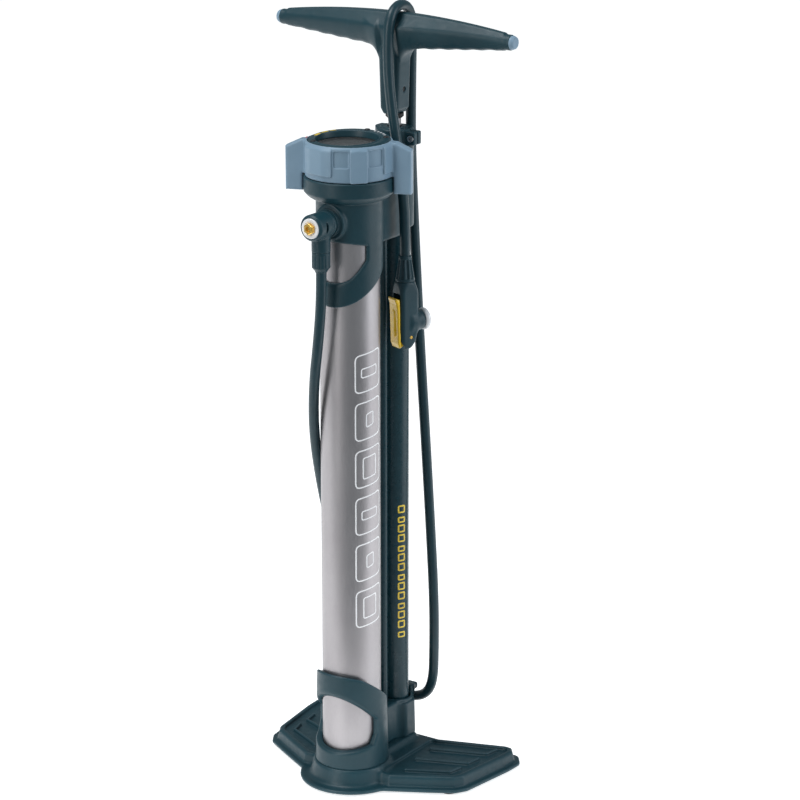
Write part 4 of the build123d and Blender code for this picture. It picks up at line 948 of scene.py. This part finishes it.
def bezel_marks(points, faces):
    """Three tapering marks beside the left wing."""
    for first, last, inner in ((178, 194, 31.6), (160, 173, 32.2), (146, 156, 32.8)):
        arc_band(points, faces, bezel_top, inner, 34.6, first, last)


def bezel_ticks(points, faces):
    for k in range(5):
        arc_band(points, faces, bezel_top, 32.4, 34.6, 46 + 8 * k, 48.5 + 8 * k)


add_print("bezel_marks", bezel_marks, "yellow_plastic", PRINT_YELLOW)
add_print("bezel_ticks", bezel_ticks, "white_plastic", PRINT_WHITE)
STUD_R = 34.0
for number, turn in enumerate((232.0, 32.0, 95.0)):
    x, y = STUD_R * cos(radians(turn)), STUD_R * sin(radians(turn))
    add_turned(
        f"bezel_stud_{number}", [(0, 0), (2.9, 0), (2.9, 1.2), (2.1, 1.9), (1.5, 1.3), (0, 1.3)],
        (x, y, bezel_top(y) - 0.9), UP, "black_plastic", radius=0.4, segments=40,
    )


def pointer_mark(points, faces):
    """The pointer on the root of the left wing."""
    arc_band(points, faces, 632.9, 39.2, 40.4, 199, 206, 0.2)


add_print("ring_pointer", pointer_mark, "needle_red", body="selector")

# ---- hose swivel ----
SWIVEL_R, SWIVEL_FRONT, NIPPLE_R, NIPPLE_Z = 12.4, -61.9, 8.7, 536.4
FERRULE_R, FERRULE_LOW, FERRULE_HIGH = 8.5, 517.0, 536.2
GROOVE_R = 12.5


def swivel_shape(x, y, z):
    """The swivel: a barrel across the boss with side dimples, and the nipple down to the hose."""
    h = z - BOSS_Z
    barrel = both(np.hypot(x, h) - SWIVEL_R, slab(y, SWIVEL_FRONT, -37.4), 0.8)
    barrel = both(barrel, (np.hypot(x, h) - y - 72.1) * 0.71, 0.6)
    barrel = cut(barrel, both(np.hypot(x, h) - 9.6, y + 60.3, 0.1), 0.3)
    nipple = both(np.hypot(x, y - SWIVEL_Y) - NIPPLE_R, slab(z, NIPPLE_Z, BOSS_Z), 0.5)
    solid = join(barrel, nipple, 2.5)
    dimple = np.hypot((y + 51.5) / 1.5, h / 5.0) - 1.0
    solid = cut(solid, both(dimple * 1.5, 9.4 - np.abs(x), 0.5), 0.6)
    groove = np.hypot(np.abs(np.hypot(x, h) - SWIVEL_R), y + 41.5) - 0.5
    solid = cut(solid, groove, 0.3)
    solid = cut(solid, np.hypot(x, h) - 5.2, 0.4)
    return cut(solid, both(np.hypot(x, y - SWIVEL_Y) - 2.0, z - BOSS_Z, 0.2), 0.3)


add_moulding(
    "swivel", swivel_shape, (-13, -62, 536), (13, -37, 574), 0.5,
    "dark_plastic", ["swivel_body"],
)
add_turned(
    "swivel_cap",
    [(4.05, 0), (9.5, 0), (9.5, 1.5), (8.9, 2.1), (6.6, 2.1), (6.3, 1.8), (6.3, 1.2), (4.05, 1.2)],
    (0, -60.35, BOSS_Z), FRONT, "white_plastic", ["swivel_ring"], radius=0.3, segments=96,
)
BOSS_GROOVES = [1.1, 2.5, 3.9]
boss_wall = [(BOSS_R, 0.0)]
for groove in BOSS_GROOVES:
    boss_wall += [(BOSS_R, groove), (GROOVE_R, groove + 0.25)]
    boss_wall += [(GROOVE_R, groove + 0.55), (BOSS_R, groove + 0.8)]
add_turned(
    "boss_threads", [(10.0, 0.0), *boss_wall, (13.0, 5.3), (10.0, 5.3)],
    (0, -31.9, BOSS_Z), FRONT, "dark_plastic", radius=0.1, segments=96,
)


def ferrule_wave(a, r, h):
    """Shallow flutes round the ferrule's wall."""
    fluted = r > 8 and 522.5 < h < 533.5
    return 1 - 0.05 * max(0.0, cos(12 * a)) ** 3 if fluted else 1.0


ferrule_wall = [(FERRULE_R, 521.6 + 1.2 * k) for k in range(12)]
add_turned(
    "ferrule",
    [
        (2.0, FERRULE_LOW), (5.6, FERRULE_LOW), (5.9, 518.4),
        *ferrule_wall, (FERRULE_R, FERRULE_HIGH), (2.0, FERRULE_HIGH),
    ],
    (0, SWIVEL_Y, 0), UP, "dark_plastic", ["hose_ferrule"],
    radius=0.5, segments=144, wave=ferrule_wave,
)

# ---- pump head ----
NOZZLE_DIR = (cos(HEAD_TURN), sin(HEAD_TURN), 0)
NOZZLE_PLACE = (HEAD_X, HEAD_Y, NOZZLE_Z)


def head_axes(x, y):
    """Distances along the nozzle and across the head."""
    dx, dy = x - HEAD_X, y - HEAD_Y
    return dx * cos(HEAD_TURN) + dy * sin(HEAD_TURN), -dx * sin(HEAD_TURN) + dy * cos(HEAD_TURN)


def head_body_shape(x, y, z):
    """The head's body: rounded block, neck for the nozzle, slot for the lever."""
    n, p = head_axes(x, y)
    block = both(plate(n - 0.7, p, 10.2, 9.0, 4.0), slab(z, 427, 491.5), 2.0)
    block = both(block, (np.hypot(n, p) - 9.0 - (491.5 - z) * 0.34) * 0.95, 1.0)
    under = [(2, 420), (14, 420), (14, 443), (9.5, 441), (6.5, 432.5), (2, 427)]
    block = cut(block, polygon(n, z, under), 3.0)
    neck = both(np.hypot(p, z - NOZZLE_Z) - 9.9, slab(n, 2, 18.4), 3.4)
    solid = join(block, neck, 3.5)
    solid = cut(solid, both(np.hypot(p, z - NOZZLE_Z) - 6.5, 1 - n, 0.2), 0.5)
    solid = cut(solid, both(np.hypot(n, p) - 2.1, 440 - z, 0.2), 0.4)
    heel = [(-14, 438.5), (-9.0, 434.6), (-3.6, 426.0), (-3.6, 420), (-14, 420)]
    solid = cut(solid, polygon(n, z, heel), 1.0)
    slot = [(-20, 420), (6.4, 420), (6.4, 443.6), (-4.2, 443.6), (-4.2, 480), (-20, 480)]
    solid = cut(solid, both(polygon(n, z, slot), np.abs(p) - 5.6, 0.4), 0.7)
    return cut(solid, np.hypot(n - PIN_N, z - PIN_Z) - 1.5, 0.5)


NUT_R, NUT_LOW, NUT_HIGH, NUT_TAPER, FLUTES = 9.4, 491.6, 516.2, 0.145, 10


def head_nut_shape(x, y, z):
    """The fluted cone nut on the hose end."""
    n, p = head_axes(x, y)
    r, turn = np.hypot(n, p), np.arctan2(p, n)
    cone = both((r - NUT_R + (z - NUT_LOW) * NUT_TAPER) * 0.99, slab(z, NUT_LOW, NUT_HIGH), 1.2)
    step = 2 * pi / FLUTES
    off = (turn + 0.5 * step) % step - 0.5 * step
    ridge_r = NUT_R - (z - NUT_LOW) * NUT_TAPER
    flute = np.hypot(r * np.sin(off), r * np.cos(off) - ridge_r - 0.5) - 1.75
    cone = cut(cone, both(flute, slab(z, 494.5, 513.0), 1.5), 0.6)
    return cut(cone, r - 2.6, 0.4)


LEVER_SIDE = [
    (-15.2, 475.9), (-13.8, 476.9), (-9.9, 475.2), (-9.7, 443.4), (1.2, 442.5), (4.4, 441.0), (5.5, 438.0),
    (4.4, 435.0), (1.2, 433.5), (-7.4, 428.4), (-10.0, 427.9), (-11.9, 432.5), (-12.4, 450.0), (-12.8, 464.0),
    (-13.5, 471.0),
]


def head_lever_shape(x, y, z):
    """The locking lever: flared thumb tip, long back, cam foot."""
    n, p = head_axes(x, y)
    side = polygon(n, z, LEVER_SIDE)
    wide = both(side, np.abs(p) - 7.2 + np.clip(z - 465, 0, 12) * 0.05, 1.6)
    cam = both(np.abs(p) - 5.2, side, 0.8)
    lever = both(wide, np.minimum(n + 9.6, 5.2), 0.5)
    lever = np.minimum(lever, cam)
    grip = both(plate(p, z - 452.0, 2.2, 13.0, 2.0), slab(n, -13.6, -10), 0.6)
    lever = join(lever, grip, 0.6)
    return cut(lever, np.hypot(n - PIN_N, z - PIN_Z) - 1.55, 0.3)


HEAD_LOW, HEAD_HIGH = (8, 36, 424), (44, 80, 493)
head_body = add_moulding(
    "head_case", head_body_shape, HEAD_LOW, HEAD_HIGH, 0.5,
    "dark_plastic", ["head_body"],
)
head_nut = add_moulding(
    "cone_nut", head_nut_shape, (16, 43, 491), (36, 63, 517), 0.4,
    "dark_plastic", ["head_nut"],
)
head_lever = add_moulding(
    "thumb_lever", head_lever_shape, (10, 32, 427), (36, 66, 478), 0.45,
    "yellow_plastic", ["head_lever"], body="lever",
)
head_collar = add_turned(
    "nozzle_ring",
    [
        (4.1, 24.0), (8.6, 24.0), (10.5, 22.4), (10.5, 20.2),
        (9.4, 18.6), (6.3, 18.6), (6.3, 21.7), (4.1, 21.7),
    ],
    NOZZLE_PLACE, NOZZLE_DIR, "white_plastic", ["nozzle_collar"], radius=0.5, segments=96,
)

# ---- handle ----
STEM_LOW, END_Z, CAP_X = 645.0, 723.1, 128.0
WAVE_START, WAVE_END, WAVE_LENGTH = 26, 118, 17.5


def handle_shape(x, y, z):
    """The handle: a bar with slanted top facets, finger waves below, round ends, and the stem."""
    reach = np.abs(x)
    t = reach / BAR_HALF
    side = np.abs(y - BARREL_Y)
    depth = 15.4 - 8.6 * t**0.8
    top = BAR_TOP - 10.0 * t**2
    wave = np.clip((reach - WAVE_START) / 6, 0, 1) * np.clip((WAVE_END - reach) / 6, 0, 1)
    ripple = 1 - np.cos(2 * pi * (reach - WAVE_START) / WAVE_LENGTH)
    bottom = 706.0 + 10.0 * t**1.2 + wave * 0.3 * ripple
    shoulder = (top - bottom) * 0.38
    lean, tuck = 0.68 * depth, 0.45 * depth
    upper = ((side - depth) * shoulder + (z - top + shoulder) * lean) / np.hypot(shoulder, lean)
    lower = ((side - depth) * shoulder + (bottom + shoulder - z) * tuck) / np.hypot(shoulder, tuck)
    bar = both(both(side - depth, z - top, 2.0), bottom - z, 2.0)
    bar = both(both(bar, upper, 1.6), lower, 5.0)
    bar = both(bar, reach - 122.0, 2.2)
    tip = both(np.hypot(side / 6.8, (z - END_Z) / 7.2) * 7.0 - 7.0, reach - 127.9, 1.0)
    bar = join(bar, tip, 0.8)
    half = 9.8 + (z - STEM_LOW) * 0.04 - np.clip(650 - z, 0, 6) * 0.7
    stem = both(plate(x * 10.5 / half, side, 10.5, 11.5, 4.5), slab(z, STEM_LOW, 722.0), 1.2)
    solid = join(bar, stem, 14.0 * np.clip((reach - 6) / 6, 0.15, 1))
    solid = cut(solid, both(np.hypot(x, side) - 6.1, z - 690, 0.3), 0.6)
    return cut(solid, np.hypot(side, z - 668) - 2.6, 0.5)


add_moulding(
    "grip", handle_shape, (-128, 58, 645), (128, 91, 740), 0.95,
    "dark_plastic", ["handle_bar"], body="handle",
)
cap_outline = [(0, -4.0), (6.3, -4.0), (6.5, 1.2), (5.4, 3.6), (4.4, 4.0), (0, 3.8)]
cap_mesh = bmesh.new()
for side in (1, -1):
    place = (side * CAP_X, BARREL_Y, END_Z)
    cap_mesh.from_mesh(turned_mesh("cap", cap_outline, place, (side, 0, 0), radius=0.8, segments=64))
cap_pair = bpy.data.meshes.new("end_caps")
cap_mesh.to_mesh(cap_pair)
cap_mesh.free()
# The end caps take the lighter blue-grey ring plastic: a painted highlight, since they are the handle's dark
# plastic and look lighter only where the key light falls on them.
put("end_caps", cap_pair, "ring_plastic", ["handle_end_caps"], body="handle")


# ---- printed graphics ----
def strip(points, faces, line, width, radius, centre_y):
    """Adds a closed ribbon round a closed line of (arc, height) on an upright tube."""
    start, count = len(points), len(line)
    low, high = radius - PRINT_SINK, radius + PRINT_LIFT
    for i, here in enumerate(line):
        before, after = Vector(line[i - 1]), Vector(line[(i + 1) % count])
        along = (after - before).normalized()
        across = Vector((-along.y, along.x)) * width / 2
        for r, side in ((low, -1), (high, -1), (high, 1), (low, 1)):
            place = Vector(here) + across * side
            a = place.x / radius
            points.append((r * cos(a), centre_y + r * sin(a), place.y))
    for i in range(count):
        tie(faces, start + 4 * i, start + 4 * ((i + 1) % count))


def slanted_bar(arc, low, high, half, slant, corner):
    """A closed outline of a slanted bar with rounded corners, as (arc, height) points."""
    corners = [
        (arc - half, low), (arc + half, low + slant), (arc + half, high + slant), (arc - half, high),
    ]
    line = [Vector(place) for place in softened(corners, corner)]
    full = []
    for i, here in enumerate(line):
        after = line[(i + 1) % len(line)]
        pieces = max(1, int((after - here).length / 1.2))
        full += [tuple(here + (after - here) * k / pieces) for k in range(pieces)]
    return full


TANK_MARK = radians(345.0) * TANK_R
BARREL_MARK = radians(333.0) * BARREL_R


def tank_print(points, faces):
    """Outlined blocks up the tank, every other one with a bar inside."""
    for k in range(6):
        low = 165.0 + 46.5 * k
        strip(points, faces, slanted_bar(TANK_MARK, low, low + 36.0, 15.0, 5.0, 5.0), 1.3, TANK_R, 0.0)
        half, inset_low = ((7.5, 9.0), (4.0, 13.0), (9.0, 15.0))[k % 3]
        inner = slanted_bar(TANK_MARK, low + inset_low, low + 41.0 - inset_low - 2.5, half, 2.5, 2.0)
        strip(points, faces, inner, 1.2, TANK_R, 0.0)


def barrel_print(points, faces):
    """Small outlined blocks up the barrel."""
    for k in range(14):
        low = 126.0 + 9.9 * k
        length = 6.4 if k % 3 else 4.6
        block = slanted_bar(BARREL_MARK, low, low + length, 3.2, 0.0, 0.8)
        strip(points, faces, block, 1.5, BARREL_R, BARREL_Y)


add_print("tank_print", tank_print, "white_plastic", PRINT_WHITE)
add_print("barrel_print", barrel_print, "yellow_plastic", PRINT_YELLOW)

# ---- every carried-over node gets its material ----
node_slot = {entry["node"]: entry["material_slot"] for entry in frame["record"]["subparts"]}
for name, node in nodes.items():
    node.data.materials.clear()
    node.data.materials.append(LOOKS[node_slot[name]])

head_pieces = [head_body, head_nut, head_lever, head_collar]
head_pieces += [nodes[name] for name in ("lever_pin", "chuck_gasket", "chuck_plunger")]
